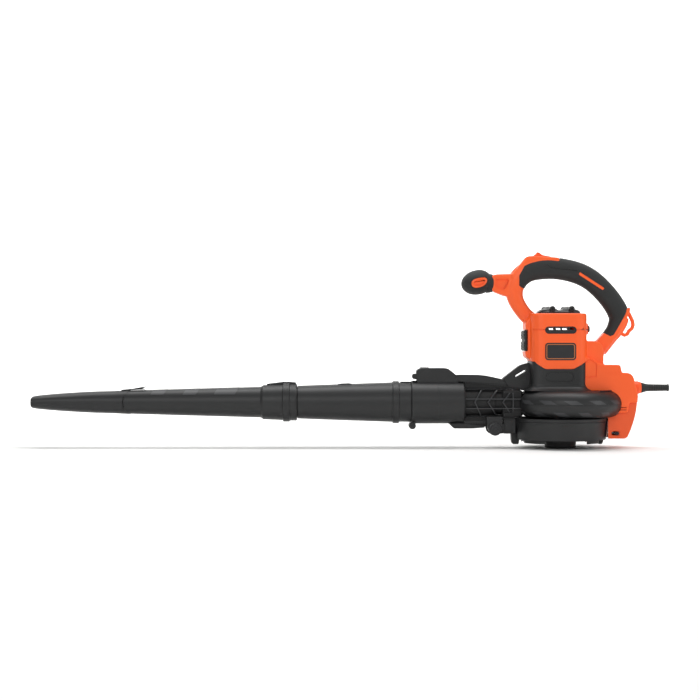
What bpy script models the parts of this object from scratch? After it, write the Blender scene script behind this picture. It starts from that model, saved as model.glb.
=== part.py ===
"""Corded leaf blower, set up as a blower: metres, +Z up, the blow tubes run to -X.

The origin is on the motor's axis, in the flat bottom of the intake guard's hub foot. Y = 0 is the plane
where the left (-Y) and right (+Y) housing shells meet. All the tubes share one level axis at TUBE_Z.
"""

import math

import bmesh
import bpy
from mathutils import Matrix, Vector

# Clearances and sections
GAP = 0.0003
WALL = 0.003
BIG_SIDES = 36
TUBE_SIDES = 24
SMALL_SIDES = 16
PIN_SIDES = 10

# Fan housing: a flat ring with a round edge, its centre a little behind the motor's axis
FAN_X = 0.014
FAN_RADIUS = 0.103
FAN_LOW = 0.0581
FAN_HIGH = 0.1087
EYE_RADIUS = 0.060
SHAFT_HOLE = 0.010

# Motor, its housing and the base under it
MOTOR_X = -0.0028
MOTOR_LENGTH = 0.107
MOTOR_DEPTH = 0.096
MOTOR_CORNER = 0.022
HOUSING_LOW = 0.164
HOUSING_HIGH = 0.2538
SHAFT_RADIUS = 0.004
SHAFT_TOP = 0.2205
CORE_LOW = 0.138
CORE_HEIGHT = 0.045
# The round motor fills the housing's room to its nearer walls, and the rotor turns about x = 0.
MOTOR_ROOM = min(MOTOR_DEPTH, MOTOR_LENGTH + 2 * MOTOR_X) / 2 - WALL
CORE_RADIUS = MOTOR_ROOM - 0.004
LOWER_CARRIER_RADIUS = MOTOR_ROOM - 0.0005
UPPER_CARRIER_RADIUS = MOTOR_ROOM - 0.0015
LOWER_CARRIER_Z = 0.1092
UPPER_CARRIER_Z = 0.2075
ARMATURE_RADIUS = 0.0235
COMMUTATOR_Z = 0.1995
COMMUTATOR_RADIUS = 0.012
BRUSH_SIZE = 0.006
BEARING_RADIUS = 0.011
BEARING_WIDTH = 0.007

# Impeller
IMPELLER_RADIUS = 0.070
IMPELLER_LOW = 0.068
IMPELLER_PLATE_Z = 0.100
BLADES = 9

# Intake guard and its hinge
GUARD_RADIUS = 0.089
GUARD_LOW = 0.0158
HUB_RADIUS = 0.030
FOOT_Z = 0.0063
HINGE_X = -0.1265
HINGE_Z = 0.0361
PIN_RADIUS = 0.0035
KNUCKLE_RADIUS = 0.0105
ARM_HALF_WIDTH = 0.0192
EAR_THICKNESS = 0.009
GRILLE_SLOTS = 14

# Blow tubes, from the socket to the nozzle's tip
TUBE_Z = 0.0859
TUBE_WALL = 0.0022
SOCKET_X = (-0.2774, -0.1837)
SPIGOT_RADIUS = 0.037
SOCKET_WALL = 0.0037
SOCKET_RADIUS = SPIGOT_RADIUS + GAP + SOCKET_WALL
TUBE_BEAD = 0.0033
SPIGOT_LENGTH = 0.047
DUCT_RADIUS = 0.030
REAR_TUBE_X = (-0.4978, -0.3064)
REAR_TUBE_RADII = (0.0314, 0.0378)
COLLAR_LENGTH = 0.0663
COLLAR_RADIUS = 0.0352
FRONT_TUBE_LENGTH = 0.2605
FRONT_TUBE_RADII = (0.022, 0.0293)
NOZZLE_OVERLAP = 0.035
NOZZLE_LENGTH = 0.1764
TIP_HALF_HEIGHT = 0.0105
TIP_HALF_WIDTH = 0.029

# Latch on the socket
LATCH_HALF_WIDTH = 0.017
LATCH_HEIGHT = 0.0242
LATCH_TOP = TUBE_Z + SOCKET_RADIUS + LATCH_HEIGHT
BUTTON_X = (-0.2664, -0.2495)
BUTTON_TOP = LATCH_TOP + 0.0015
BUTTON_HALF_WIDTH = 0.0084

# Handle, as stations of its centre line: x, z and half its height in the side view
HANDLE = [
    (-0.048, 0.236, 0.0150),
    (-0.070, 0.256, 0.0140),
    (-0.086, 0.285, 0.0160),
    (-0.083, 0.313, 0.0190),
    (-0.063, 0.333, 0.0205),
    (-0.031, 0.3400, 0.0212),
    (0.003, 0.3380, 0.0205),
    (0.0386, 0.3284, 0.0205),
    (0.0676, 0.3101, 0.0200),
    (0.0960, 0.2790, 0.0197),
    (0.1110, 0.2500, 0.0195),
    (0.1055, 0.2265, 0.0165),
    (0.0925, 0.2080, 0.0145),
    (0.0740, 0.1850, 0.0150),
]
HANDLE_FLATNESS = 0.88
GRIP_RANGE = (4.2, 11.25)
GRIP_DEPTH = 0.0042
STEP_EDGE = 0.012
STATION_EASE = 0.08
ARM_START = (-0.080, 0.3080)
ARM_END = (-0.137, 0.3106)
ARM_TAPER = 0.0015
ARM_RADIUS = 0.0150
KNOB_CENTRE = (-0.1573, 0.3128)
KNOB_LENGTH = 0.060
KNOB_WIDTH = 0.047
KNOB_TILT = math.radians(12)

# Power slider and the switch under it
SLIDER_X = (-0.0513, -0.0171)
SLIDER_TRAVEL = 0.006
SLIDER_HALF_WIDTH = 0.008
SLIDER_FLOOR = 0.3580
SLIDER_TOP = 0.3707
DECK_LOW = (-0.0592, -0.0120, 0.3460)
DECK_HIGH = (-0.0088, 0.0120, 0.3625)
SWITCH_X = (-0.054, -0.020)
SWITCH_Z = (0.332, 0.3495)
SWITCH_HALF_WIDTH = 0.009

# Rear of the housing, cord entry and lower cover
REAR_HALF_WIDTH = 0.040
REAR_TOP = 0.1417
COVER_HALF_WIDTH = 0.034
COVER_LOW = 0.0165
CORD_Z = 0.1132
CORD_ENTRY_X = 0.1290
CORD_RADIUS = 0.0032
BOOT_RADIUS = 0.0075
GLAND_RADIUS = 0.0126
GLAND_END = 0.1532
BOOT_END = 0.2058
GUARD_LATCH_X = (0.0975, 0.1057)
GUARD_LATCH_Z = (0.0251, 0.0315)
GUARD_LATCH_TRAVEL = 0.004

# Let into the housing: bumper pad, vents and blank badge plates
PAD_X = (-0.0725, -0.0630)
PAD_Z = (0.1828, 0.2227)
VENT_X = (-0.0285, 0.0312)
VENT_Z = (0.2157, 0.2293)
VENT_DEPTH = 0.0022
SLIT_X = [(-0.0234, -0.0107), (-0.0080, 0.0002), (0.0022, 0.0152)]
SLIT_Z = (0.2232, 0.2270)
BADGE_X = (-0.0285, 0.0304)
BADGE_Z = (0.1653, 0.1984)
BADGE_DEPTH = 0.0012
REAR_VENT_X = (0.0512, 0.0549)
REAR_VENT_Z = (0.2176, 0.2312)
REAR_VENT_HALF = 0.012

# Screws: x, z in the side view, and how far each boss reaches from the split plane
SCREWS = [
    (-0.086, 0.288, 0.012),
    (0.064, 0.170, 0.038),
    (0.106, 0.228, 0.009),
    (0.104, 0.1478, 0.012),
    (0.130, 0.0925, 0.038),
]
SCREW_RADIUS = 0.0017
SCREW_HEAD = 0.0035
BOSS_RADIUS = 0.0052

AXIS_TURN = {"X": (0, math.pi / 2, 0), "Y": (-math.pi / 2, 0, 0), "Z": (0, 0, 0)}
COLOURS = {
    "orange_plastic": ((0.90, 0.14, 0.02), 0.38, 0.0),
    "black_plastic": ((0.025, 0.026, 0.027), 0.42, 0.0),
    "soft_grip": ((0.022, 0.024, 0.024), 0.75, 0.0),
    "steel": ((0.55, 0.56, 0.58), 0.30, 1.0),
    "copper": ((0.72, 0.32, 0.16), 0.35, 1.0),
    "carbon": ((0.03, 0.03, 0.03), 0.60, 0.0),
}

parts = None
helpers = None


# ---- helpers -------------------------------------------------------------------------------------


def start_scene():
    """Empties the scene and makes the two collections."""
    global parts, helpers
    for obj in list(bpy.data.objects):
        bpy.data.objects.remove(obj, do_unlink=True)
    parts = bpy.data.collections.new("leaf_blower")
    helpers = bpy.data.collections.new("cutters")
    for collection in (parts, helpers):
        bpy.context.scene.collection.children.link(collection)


def material(name):
    """The named material, made on first use."""
    found = bpy.data.materials.get(name)
    if found:
        return found
    colour, roughness, metallic = COLOURS[name]
    made = bpy.data.materials.new(name)
    made.use_nodes = True
    shader = made.node_tree.nodes["Principled BSDF"]
    shader.inputs["Base Color"].default_value = (*colour, 1.0)
    shader.inputs["Roughness"].default_value = roughness
    shader.inputs["Metallic"].default_value = metallic
    made.diffuse_color = (*colour, 1.0)
    return made


def helper(name, mesh, centre=(0, 0, 0), turn=(0, 0, 0)):
    """An object among the cutters: not rendered, drawn as wire."""
    obj = bpy.data.objects.new(name, mesh)
    obj.location = centre
    obj.rotation_euler = turn
    obj.hide_render = True
    obj.display_type = "WIRE"
    helpers.objects.link(obj)
    return obj


def finish(obj, name, look):
    """Turns a helper into a part: its name, its collection and its material."""
    helpers.objects.unlink(obj)
    parts.objects.link(obj)
    obj.name = name
    obj.hide_render = False
    obj.display_type = "TEXTURED"
    obj.data.materials.clear()
    obj.data.materials.append(material(look))
    return obj


def combine(obj, other, operation, solver="EXACT"):
    """A live Boolean of obj with other."""
    modifier = obj.modifiers.new(f"{operation.lower()}_{other.name}", "BOOLEAN")
    modifier.operation = operation
    modifier.object = other
    modifier.solver = solver
    return obj


def cut(obj, *cutters):
    for cutter in cutters:
        combine(obj, cutter, "DIFFERENCE")
    return obj


def join(obj, *others):
    for other in others:
        combine(obj, other, "UNION")
    return obj


def box(low, high, name="box"):
    """A box between two corners."""
    size = Vector(high) - Vector(low)
    bm = bmesh.new()
    bmesh.ops.create_cube(bm, size=1.0, matrix=Matrix.Diagonal((*size, 1.0)))
    mesh = bpy.data.meshes.new(name)
    bm.to_mesh(mesh)
    bm.free()
    return helper(name, mesh, (Vector(low) + Vector(high)) / 2)


def cylinder(radius, low, high, centre=(0, 0), axis="Z", sides=SMALL_SIDES, name="cylinder"):
    """A cylinder along an axis, from low to high on it; centre gives the other two coordinates."""
    middle = (low + high) / 2
    places = {
        "X": (middle, centre[0], centre[1]),
        "Y": (centre[0], middle, centre[1]),
        "Z": (centre[0], centre[1], middle),
    }
    bm = bmesh.new()
    bmesh.ops.create_cone(
        bm, cap_ends=True, segments=sides, radius1=radius, radius2=radius, depth=high - low
    )
    mesh = bpy.data.meshes.new(name)
    bm.to_mesh(mesh)
    bm.free()
    return helper(name, mesh, places[axis], AXIS_TURN[axis])


def turned(profile, centre=(0, 0, 0), axis="Z", sides=SMALL_SIDES, closed=False, name="turned"):
    """A profile of (radius, place along the axis), outer side from high to low, turned full circle."""
    count = len(profile)
    edges = [(i, i + 1) for i in range(count - 1)]
    if closed:
        edges.append((count - 1, 0))
    mesh = bpy.data.meshes.new(name)
    mesh.from_pydata([(radius, 0, along) for radius, along in profile], edges, [])
    obj = helper(name, mesh, centre, AXIS_TURN[axis])
    screw = obj.modifiers.new("turn", "SCREW")
    screw.steps = sides
    screw.render_steps = sides
    screw.use_merge_vertices = True
    screw.merge_threshold = 0.00001
    return obj


def meshed(curve_object, name):
    """The curve's solid as a mesh helper with its caps welded on."""
    bpy.context.view_layer.update()
    evaluated = curve_object.evaluated_get(bpy.context.evaluated_depsgraph_get())
    mesh = bpy.data.meshes.new_from_object(evaluated)
    bm = bmesh.new()
    bm.from_mesh(mesh)
    bmesh.ops.remove_doubles(bm, verts=bm.verts, dist=0.00001)
    bmesh.ops.recalc_face_normals(bm, faces=bm.faces)
    bm.to_mesh(mesh)
    bm.free()
    obj = helper(name, mesh)
    obj.matrix_world = curve_object.matrix_world
    bpy.data.objects.remove(curve_object, do_unlink=True)
    return obj


def outline(points, low, high, plane="XZ", name="outline"):
    """A flat outline pushed through from low to high across its plane."""
    curve = bpy.data.curves.new(name, "CURVE")
    curve.dimensions = "2D"
    curve.fill_mode = "BOTH"
    curve.extrude = (high - low) / 2
    spline = curve.splines.new("POLY")
    spline.points.add(len(points) - 1)
    for point, place in zip(spline.points, points):
        point.co = (place[0], place[1], 0, 1)
    spline.use_cyclic_u = True
    obj = helper(name, curve)
    middle = (low + high) / 2
    obj.location = (0, middle, 0) if plane == "XZ" else (0, 0, middle)
    obj.rotation_euler = (math.pi / 2, 0, 0) if plane == "XZ" else (0, 0, 0)
    return meshed(obj, name)


def tube(stations, name="tube", flatness=1.0, detail=4):
    """A round bar through stations of (x, y, z, radius), its depth in Y times flatness."""
    curve = bpy.data.curves.new(name, "CURVE")
    curve.dimensions = "3D"
    curve.bevel_depth = 1.0
    curve.bevel_resolution = detail
    curve.use_fill_caps = True
    spline = curve.splines.new("POLY")
    spline.points.add(len(stations) - 1)
    for point, (x, y, z, radius) in zip(spline.points, stations):
        point.co = (x, y, z, 1)
        point.radius = radius
    obj = meshed(helper(name, curve), name)
    obj.data.transform(Matrix.Diagonal((1, flatness, 1, 1)))
    return obj


def arc(centre, radius, start, end, steps):
    """Points on an arc, its angles in degrees."""
    turns = [math.radians(start + (end - start) * i / steps) for i in range(steps + 1)]
    return [(centre[0] + radius * math.cos(a), centre[1] + radius * math.sin(a)) for a in turns]


def rounded_rectangle(centre, length, depth, corner, steps=4):
    """The points of a rectangle with round corners."""
    x, y = length / 2 - corner, depth / 2 - corner
    points = []
    for sign_x, sign_y, start in ((1, 1, 0), (-1, 1, 90), (-1, -1, 180), (1, -1, 270)):
        middle = (centre[0] + sign_x * x, centre[1] + sign_y * y)
        points += arc(middle, corner, start, start + 90, steps)
    return points


def halves(whole, name, look, reach=0.5):
    """The left and the right shell of a whole body, split at Y = 0."""
    for side, low, high in (("left", -reach, -GAP / 2), ("right", GAP / 2, reach)):
        half = box((-reach, low, -reach), (reach, high, reach), f"{name}_{side}_space")
        combine(half, whole, "INTERSECT", "MANIFOLD")
        finish(half, f"{name}_{side}", look)


def mirrored_y(points_low_high):
    """A span on the left side and the same span on the right, as (side, low, high)."""
    low, high = points_low_high
    return (("left", -high, -low), ("right", low, high))


# ---- shared envelopes ----------------------------------------------------------------------------


def fan_profile(inset, side_gap=0.0):
    """The outer side of the fan housing's section, top to bottom, pulled in by inset."""
    half = (FAN_HIGH - FAN_LOW) / 2 - inset
    middle = (FAN_HIGH + FAN_LOW) / 2
    centre = (FAN_RADIUS - (FAN_HIGH - FAN_LOW) / 2, middle)
    return [(0, middle + half)] + arc(centre, half, 90, -90, 8) + [(0, middle - half)]


def fan_envelope(gap):
    """The solid space of the whole fan housing, grown by gap."""
    return turned(fan_profile(-gap), (FAN_X, 0, 0), sides=BIG_SIDES, name="fan_envelope")


def fan_side_space(gap, half_width=0.12):
    """The fan housing's side view pushed through in Y: the arch that the rear shells have."""
    half = (FAN_HIGH - FAN_LOW) / 2
    middle = (FAN_HIGH + FAN_LOW) / 2
    end = arc((FAN_X + FAN_RADIUS - half, middle), half + gap, -90, 90, 8)
    points = end + [(0, middle + half + gap), (0, middle - half - gap)]
    return outline(points, -half_width, half_width, name="fan_side_space")


def motor_plan(inset):
    """The motor housing's plan, pulled in by inset."""
    return rounded_rectangle(
        (MOTOR_X, 0), MOTOR_LENGTH - 2 * inset, MOTOR_DEPTH - 2 * inset, MOTOR_CORNER - inset
    )


def path_point(t):
    """The handle's centre line at station t, by a Catmull-Rom curve through HANDLE."""
    last = len(HANDLE) - 1
    i = min(int(t), last - 1)
    u = t - i
    ends = [HANDLE[max(i - 1, 0)], HANDLE[i], HANDLE[i + 1], HANDLE[min(i + 2, last)]]
    weights = (
        (-u + 2 * u**2 - u**3) / 2,
        (2 - 5 * u**2 + 3 * u**3) / 2,
        (u + 4 * u**2 - 3 * u**3) / 2,
        (-(u**2) + u**3) / 2,
    )
    return [sum(w * end[k] for w, end in zip(weights, ends)) for k in range(3)]


def handle_bar(start, end, radius_offset, name, stepped=False):
    """The handle between two stations; a stepped one is thinner where the grip lies on it."""
    grip_start, grip_end = GRIP_RANGE
    places = {start, end}
    places |= {i / 2 for i in range(2 * len(HANDLE))}
    # These keep the rings at the grip's ends square to the handle.
    places |= {grip_start + STATION_EASE, grip_end - STATION_EASE}
    if stepped:
        places |= {grip_start - STEP_EDGE, grip_start, grip_end, grip_end + STEP_EDGE}
    stations = []
    for t in sorted(place for place in places if start <= place <= end):
        x, z, radius = path_point(t)
        depth = GRIP_DEPTH if stepped and grip_start <= t <= grip_end else 0
        stations.append((x, 0, z, radius - depth + radius_offset))
    return tube(stations, name, HANDLE_FLATNESS)


# ---- housing, handle and grip --------------------------------------------------------------------


def rear_outline(shift=0.0):
    """The rear body's side view: the column behind the motor, then the cord entry."""
    points = [
        (0.0454, 0.1990),
        (0.0454, 0.1060),
        (0.1120, 0.0650),
        (0.1280, 0.0650),
        (0.1311, 0.0840),
        (0.1469, 0.0840),
        (0.1484, 0.0977),
        (0.1391, 0.1355),
        (0.1343, REAR_TOP),
        (0.1178, REAR_TOP),
        (0.1153, 0.1569),
        (0.0823, 0.1569),
        (0.0840, 0.1990),
    ]
    return outline(
        [(x + shift, z) for x, z in points], -REAR_HALF_WIDTH, REAR_HALF_WIDTH, name="rear_body"
    )


def arm_bar(gap):
    """The arm from the front column to the knob, grown by gap."""
    start = (ARM_START[0], 0, ARM_START[1], ARM_RADIUS + ARM_TAPER + gap)
    end = (ARM_END[0] - gap, 0, ARM_END[1], ARM_RADIUS + gap)
    return tube([start, end], "arm", HANDLE_FLATNESS)


def screw_places(radius, low, high, name):
    """A cylinder on each screw's axis."""
    return [cylinder(radius, low, high, (x, z), "Y", PIN_SIDES, name) for x, z, _ in SCREWS]


def screw_bosses():
    return [
        cylinder(BOSS_RADIUS, -reach, reach, (x, z), "Y", PIN_SIDES, "screw_boss")
        for x, z, reach in SCREWS
    ]


def make_housing():
    """The orange clamshell: motor housing, D handle, arm and rear body, in two halves."""
    whole = outline(motor_plan(0), HOUSING_LOW, HOUSING_HIGH, "XY", "housing_whole")
    core = handle_bar(0, len(HANDLE) - 1, 0, "handle_core", stepped=True)
    arm = arm_bar(0)
    facet = box((-0.069, -0.026, 0.1780), (-0.040, 0.026, 0.2260), "front_facet")
    rear = rear_outline()
    cut(rear, outline(motor_plan(-GAP), FAN_LOW, HOUSING_LOW + 0.001, "XY", "base_space"))
    deck = box(DECK_LOW, DECK_HIGH, "slider_deck")
    join(whole, core, arm, facet, deck, rear)

    hollow = handle_bar(0, len(HANDLE) - 1, -WALL - GRIP_DEPTH, "handle_hollow")
    motor_space = outline(
        motor_plan(WALL), HOUSING_LOW - 0.06, HOUSING_HIGH - WALL, "XY", "motor_space"
    )
    half = REAR_HALF_WIDTH - WALL
    column_space = box((0.0540, -half, 0.1125), (0.0790, half, 0.1960), "column_space")
    half -= GAP
    entry_space = box((0.0750, -half, 0.1120), (0.1340, half, REAR_TOP - WALL), "entry_space")
    half -= GAP
    tail_space = box((0.1210, -half, 0.0870), (0.1425, half, 0.1180), "tail_space")
    cut(whole, hollow, motor_space, column_space, entry_space, tail_space)
    join(whole, *screw_bosses())
    cut(
        whole,
        fan_side_space(2 * GAP),
        cylinder(BOOT_RADIUS + GAP, 0.130, 0.160, (0, CORD_Z), "X", name="cord_hole"),
        box(
            (SLIDER_X[0] - SLIDER_TRAVEL - 2 * GAP, -SLIDER_HALF_WIDTH - GAP, SLIDER_FLOOR),
            (SLIDER_X[1] + 2 * GAP, SLIDER_HALF_WIDTH + GAP, 0.38),
            "slider_pocket",
        ),
        box((-0.0500, -0.0040, 0.345), (-0.0240, 0.0040, 0.38), "slider_slot"),
        box(
            (SWITCH_X[0] - 0.001, -SWITCH_HALF_WIDTH - GAP, SWITCH_Z[0] - 0.001),
            (SWITCH_X[1] + 0.001, SWITCH_HALF_WIDTH + GAP, SWITCH_Z[1] + 0.001),
            "switch_space",
        ),
        *inlay_spaces(),
    )
    cut(whole, *screw_places(SCREW_RADIUS + GAP, -0.0085, 0.060, "screw_hole"))
    cut(whole, *screw_places(SCREW_HEAD + GAP, 0.0085, 0.060, "screw_head_hole"))
    halves(whole, "housing", "orange_plastic")


def plate_points(span_x, span_z, corner, inset=0.0):
    centre = (sum(span_x) / 2, sum(span_z) / 2)
    length = span_x[1] - span_x[0] - 2 * inset
    height = span_z[1] - span_z[0] - 2 * inset
    return rounded_rectangle(centre, length, height, corner - inset, 3)


def inlay_spaces():
    """Pockets for what is let into the housing: pads, vents and badge plates."""
    half = MOTOR_DEPTH / 2
    spaces = [
        box(
            (PAD_X[0], -0.03, PAD_Z[0] - GAP), (PAD_X[1] + GAP, 0.03, PAD_Z[1] + GAP), "pad_space"
        ),
        box(
            (MOTOR_X + MOTOR_LENGTH / 2 - 0.0012, -REAR_VENT_HALF - GAP, REAR_VENT_Z[0] - GAP),
            (REAR_VENT_X[1], REAR_VENT_HALF + GAP, REAR_VENT_Z[1] + GAP),
            "rear_vent_space",
        ),
    ]
    for side in (-1, 1):
        for name, span_x, span_z, corner, depth in (
            ("vent_space", VENT_X, VENT_Z, 0.0065, VENT_DEPTH),
            ("badge_space", BADGE_X, BADGE_Z, 0.006, BADGE_DEPTH),
        ):
            low, high = sorted((side * (half - depth), side * (half + 0.01)))
            spaces.append(outline(plate_points(span_x, span_z, corner, -GAP), low, high, name=name))
    spaces.append(box((SLIT_X[0][0], -0.06, SLIT_Z[0]), (SLIT_X[-1][1], 0.06, SLIT_Z[1]), "slits"))
    return spaces


def make_inlays():
    """Vent inserts, blank badge plates and the pads on the motor housing."""
    half = MOTOR_DEPTH / 2
    for side, sign in (("left", -1), ("right", 1)):
        low, high = sorted((sign * (half - VENT_DEPTH + GAP), sign * (half + 0.0003)))
        vent = outline(plate_points(VENT_X, VENT_Z, 0.0065), low, high, name="vent")
        for span in SLIT_X:
            cut(vent, box((span[0], low - 0.01, SLIT_Z[0]), (span[1], high + 0.01, SLIT_Z[1])))
        finish(vent, f"side_vent_{side}", "black_plastic")
        low, high = sorted((sign * (half - BADGE_DEPTH + GAP), sign * (half + 0.0004)))
        plate = outline(plate_points(BADGE_X, BADGE_Z, 0.006), low, high, name="badge")
        finish(plate, f"badge_plate_{side}", "black_plastic")
    pad = box((PAD_X[0], -0.0262, PAD_Z[0]), (PAD_X[1], 0.0262, PAD_Z[1]), "pad")
    finish(pad, "front_bumper_pad", "soft_grip")
    rear = box(
        (MOTOR_X + MOTOR_LENGTH / 2 - 0.0008, -REAR_VENT_HALF, REAR_VENT_Z[0]),
        (REAR_VENT_X[1], REAR_VENT_HALF, REAR_VENT_Z[1]),
        "rear_vent",
    )
    finish(rear, "rear_vent_insert", "black_plastic")
    top = outline(
        rounded_rectangle((-0.0040, 0), 0.081, 0.058, 0.020),
        HOUSING_HIGH + GAP,
        HOUSING_HIGH + 0.0080,
        "XY",
        "top_pad",
    )
    for x in (-0.020, 0.016):
        bar = cylinder(0.0062, -0.029, 0.029, (x, HOUSING_HIGH + 0.0085), "Y", PIN_SIDES, "bar")
        join(top, bar)
    finish(top, "top_vent_pad", "black_plastic")


def make_grip():
    """The soft grip moulded round the handle, in two halves, and the power slider and switch."""
    start, end = GRIP_RANGE
    whole = handle_bar(start + 5 * STEP_EDGE, end - 5 * STEP_EDGE, 0, "grip_whole")
    inner = handle_bar(start - 0.05, end + 0.05, GAP - GRIP_DEPTH, "grip_bore")
    pocket = box(
        (DECK_LOW[0] - GAP, DECK_LOW[1] - GAP, DECK_LOW[2] - 0.001),
        (DECK_HIGH[0] + GAP, DECK_HIGH[1] + GAP, 0.39),
        "grip_deck_space",
    )
    cut(whole, inner, pocket, *screw_places(SCREW_HEAD + GAP, 0, 0.060, "grip_screw_hole"))
    halves(whole, "grip", "soft_grip")


def make_switch():
    low, high = SLIDER_X
    slider = box(
        (low, -SLIDER_HALF_WIDTH, SLIDER_FLOOR + GAP), (high, SLIDER_HALF_WIDTH, 0.3655), "slider"
    )
    middle = low + 0.0078
    thumb = outline(
        [(low + 0.001, 0.3650), (high - 0.002, 0.3650), (middle + 0.006, SLIDER_TOP - 0.001)]
        + [(middle + 0.002, SLIDER_TOP), (middle - 0.003, SLIDER_TOP - 0.0015)],
        -0.0070,
        0.0070,
        name="thumb_rib",
    )
    stem = box((-0.0385, -0.0034, SWITCH_Z[1] + GAP), (-0.0305, 0.0034, 0.3600), "slider_stem")
    finish(join(slider, thumb, stem), "power_slider", "orange_plastic")
    switch = box(
        (SWITCH_X[0], -SWITCH_HALF_WIDTH, SWITCH_Z[0]),
        (SWITCH_X[1], SWITCH_HALF_WIDTH, SWITCH_Z[1]),
        "switch",
    )
    finish(switch, "switch_module", "black_plastic")


def make_knob():
    """The front hand knob on the end of the arm, with an inlay on each side."""
    bm = bmesh.new()
    bmesh.ops.create_uvsphere(bm, u_segments=18, v_segments=10, radius=0.5)
    mesh = bpy.data.meshes.new("knob")
    bm.to_mesh(mesh)
    bm.free()
    mesh.transform(Matrix.Diagonal((KNOB_LENGTH, KNOB_WIDTH, KNOB_WIDTH, 1)))
    knob = helper("knob", mesh, (KNOB_CENTRE[0], 0, KNOB_CENTRE[1]), (0, -KNOB_TILT, 0))
    cut(knob, arm_bar(1.5 * GAP))
    centre = (KNOB_CENTRE[0] + 0.003, KNOB_CENTRE[1])
    face = 0.0190
    for sign in (-1, 1):
        low, high = sorted((sign * face, sign * 0.04))
        cut(knob, outline(rounded_rectangle(centre, 0.0334, 0.0230, 0.0100), low, high))
    finish(knob, "front_knob", "soft_grip")
    for side, sign in (("left", -1), ("right", 1)):
        low, high = sorted((sign * (face + GAP), sign * 0.0228))
        inlay = outline(rounded_rectangle(centre, 0.0326, 0.0222, 0.0096), low, high)
        finish(inlay, f"knob_inlay_{side}", "orange_plastic")


def make_screws():
    for number, (x, z, _) in enumerate(SCREWS, 1):
        profile = [(0, 0.0110), (SCREW_HEAD, 0.0110), (SCREW_HEAD, 0.0088), (SCREW_RADIUS, 0.0088)]
        profile += [(SCREW_RADIUS, -0.0080), (0, -0.0080)]
        screw = turned(profile, (x, 0, z), "Y", PIN_SIDES, name="screw")
        finish(screw, f"housing_screw_{number}", "steel")


def make_rear():
    """The set-back lower cover, its guard latch, the cord hook and what holds the cord."""
    cover = outline(
        [(0.0915, 0.0640), (0.0915, COVER_LOW), (0.1227, COVER_LOW), (0.1275, 0.0198)]
        + [(0.1324, 0.0295), (0.1383, 0.0446), (0.1438, 0.0652), (0.1466, 0.0836)]
        + [(0.1315, 0.0836), (0.1284, 0.0640)],
        -COVER_HALF_WIDTH,
        COVER_HALF_WIDTH,
        name="cover",
    )
    inside = COVER_HALF_WIDTH - 0.0025
    cut(cover, fan_side_space(2 * GAP))
    cut(cover, box((0.0945, -inside, 0.0195), (0.1215, inside, 0.0540), "cover_space"))
    slot_x = (GUARD_LATCH_X[0] - GUARD_LATCH_TRAVEL - 0.0022, GUARD_LATCH_X[1] + 0.0006)
    slot_z = (GUARD_LATCH_Z[0] - 0.0010, GUARD_LATCH_Z[1] + 0.0010)
    slot = plate_points(slot_x, slot_z, 0.004)
    cut(cover, outline(slot, -0.06, 0.06, name="latch_slot"))
    finish(cover, "lower_rear_cover", "orange_plastic")
    reach = COVER_HALF_WIDTH + 0.002
    latch_side = plate_points(GUARD_LATCH_X, GUARD_LATCH_Z, 0.003)
    latch = outline(latch_side, -reach, reach, name="latch_bar")
    finish(latch, "guard_latch", "black_plastic")
    hook = [(0.1322, 0.2560), (0.1398, 0.2312), (0.1374, 0.2252), (0.1292, 0.2190)]
    hook += [(0.1243, 0.2128), (0.1195, 0.2150)]
    hook_bar = tube([(x, 0, z, 0.0028) for x, z in hook], "hook", 1.4, 2)
    cut(hook_bar, handle_bar(9, len(HANDLE) - 1, GAP, "hook_seat"))
    finish(hook_bar, "cord_hook", "orange_plastic")
    gland = cylinder(GLAND_RADIUS, 0.1400, GLAND_END, (0, CORD_Z), "X", name="gland")
    cut(gland, rear_outline(GAP))
    cut(gland, cylinder(BOOT_RADIUS + GAP, 0.13, 0.17, (0, CORD_Z), "X", name="gland_bore"))
    finish(gland, "cord_gland", "orange_plastic")
    rim = BOOT_END - 0.002
    boot = [(CORD_RADIUS, BOOT_END), (0.0074, BOOT_END), (0.0074, rim), (0.0064, rim)]
    boot += [(0.0085, GLAND_END + 0.007), (0.0103, GLAND_END + 0.0006)]
    boot += [(BOOT_RADIUS, GLAND_END + 0.0004), (BOOT_RADIUS, 0.1330), (0.0115, 0.1328)]
    boot += [(0.0115, CORD_ENTRY_X), (CORD_RADIUS, CORD_ENTRY_X)]
    finish(
        turned(boot, (0, 0, CORD_Z), "X", closed=True, name="boot"),
        "strain_relief_boot",
        "soft_grip",
    )
    clamp = box((0.1240, -0.0120, 0.1135), (0.1280, 0.0120, 0.1165), "clamp")
    finish(clamp, "cord_clamp", "black_plastic")
    capacitor = cylinder(0.0080, 0.0820, 0.1120, (0.024, 0.1250), "X", PIN_SIDES, "capacitor")
    finish(capacitor, "capacitor", "black_plastic")


# ---- motor and fan -------------------------------------------------------------------------------


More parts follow.
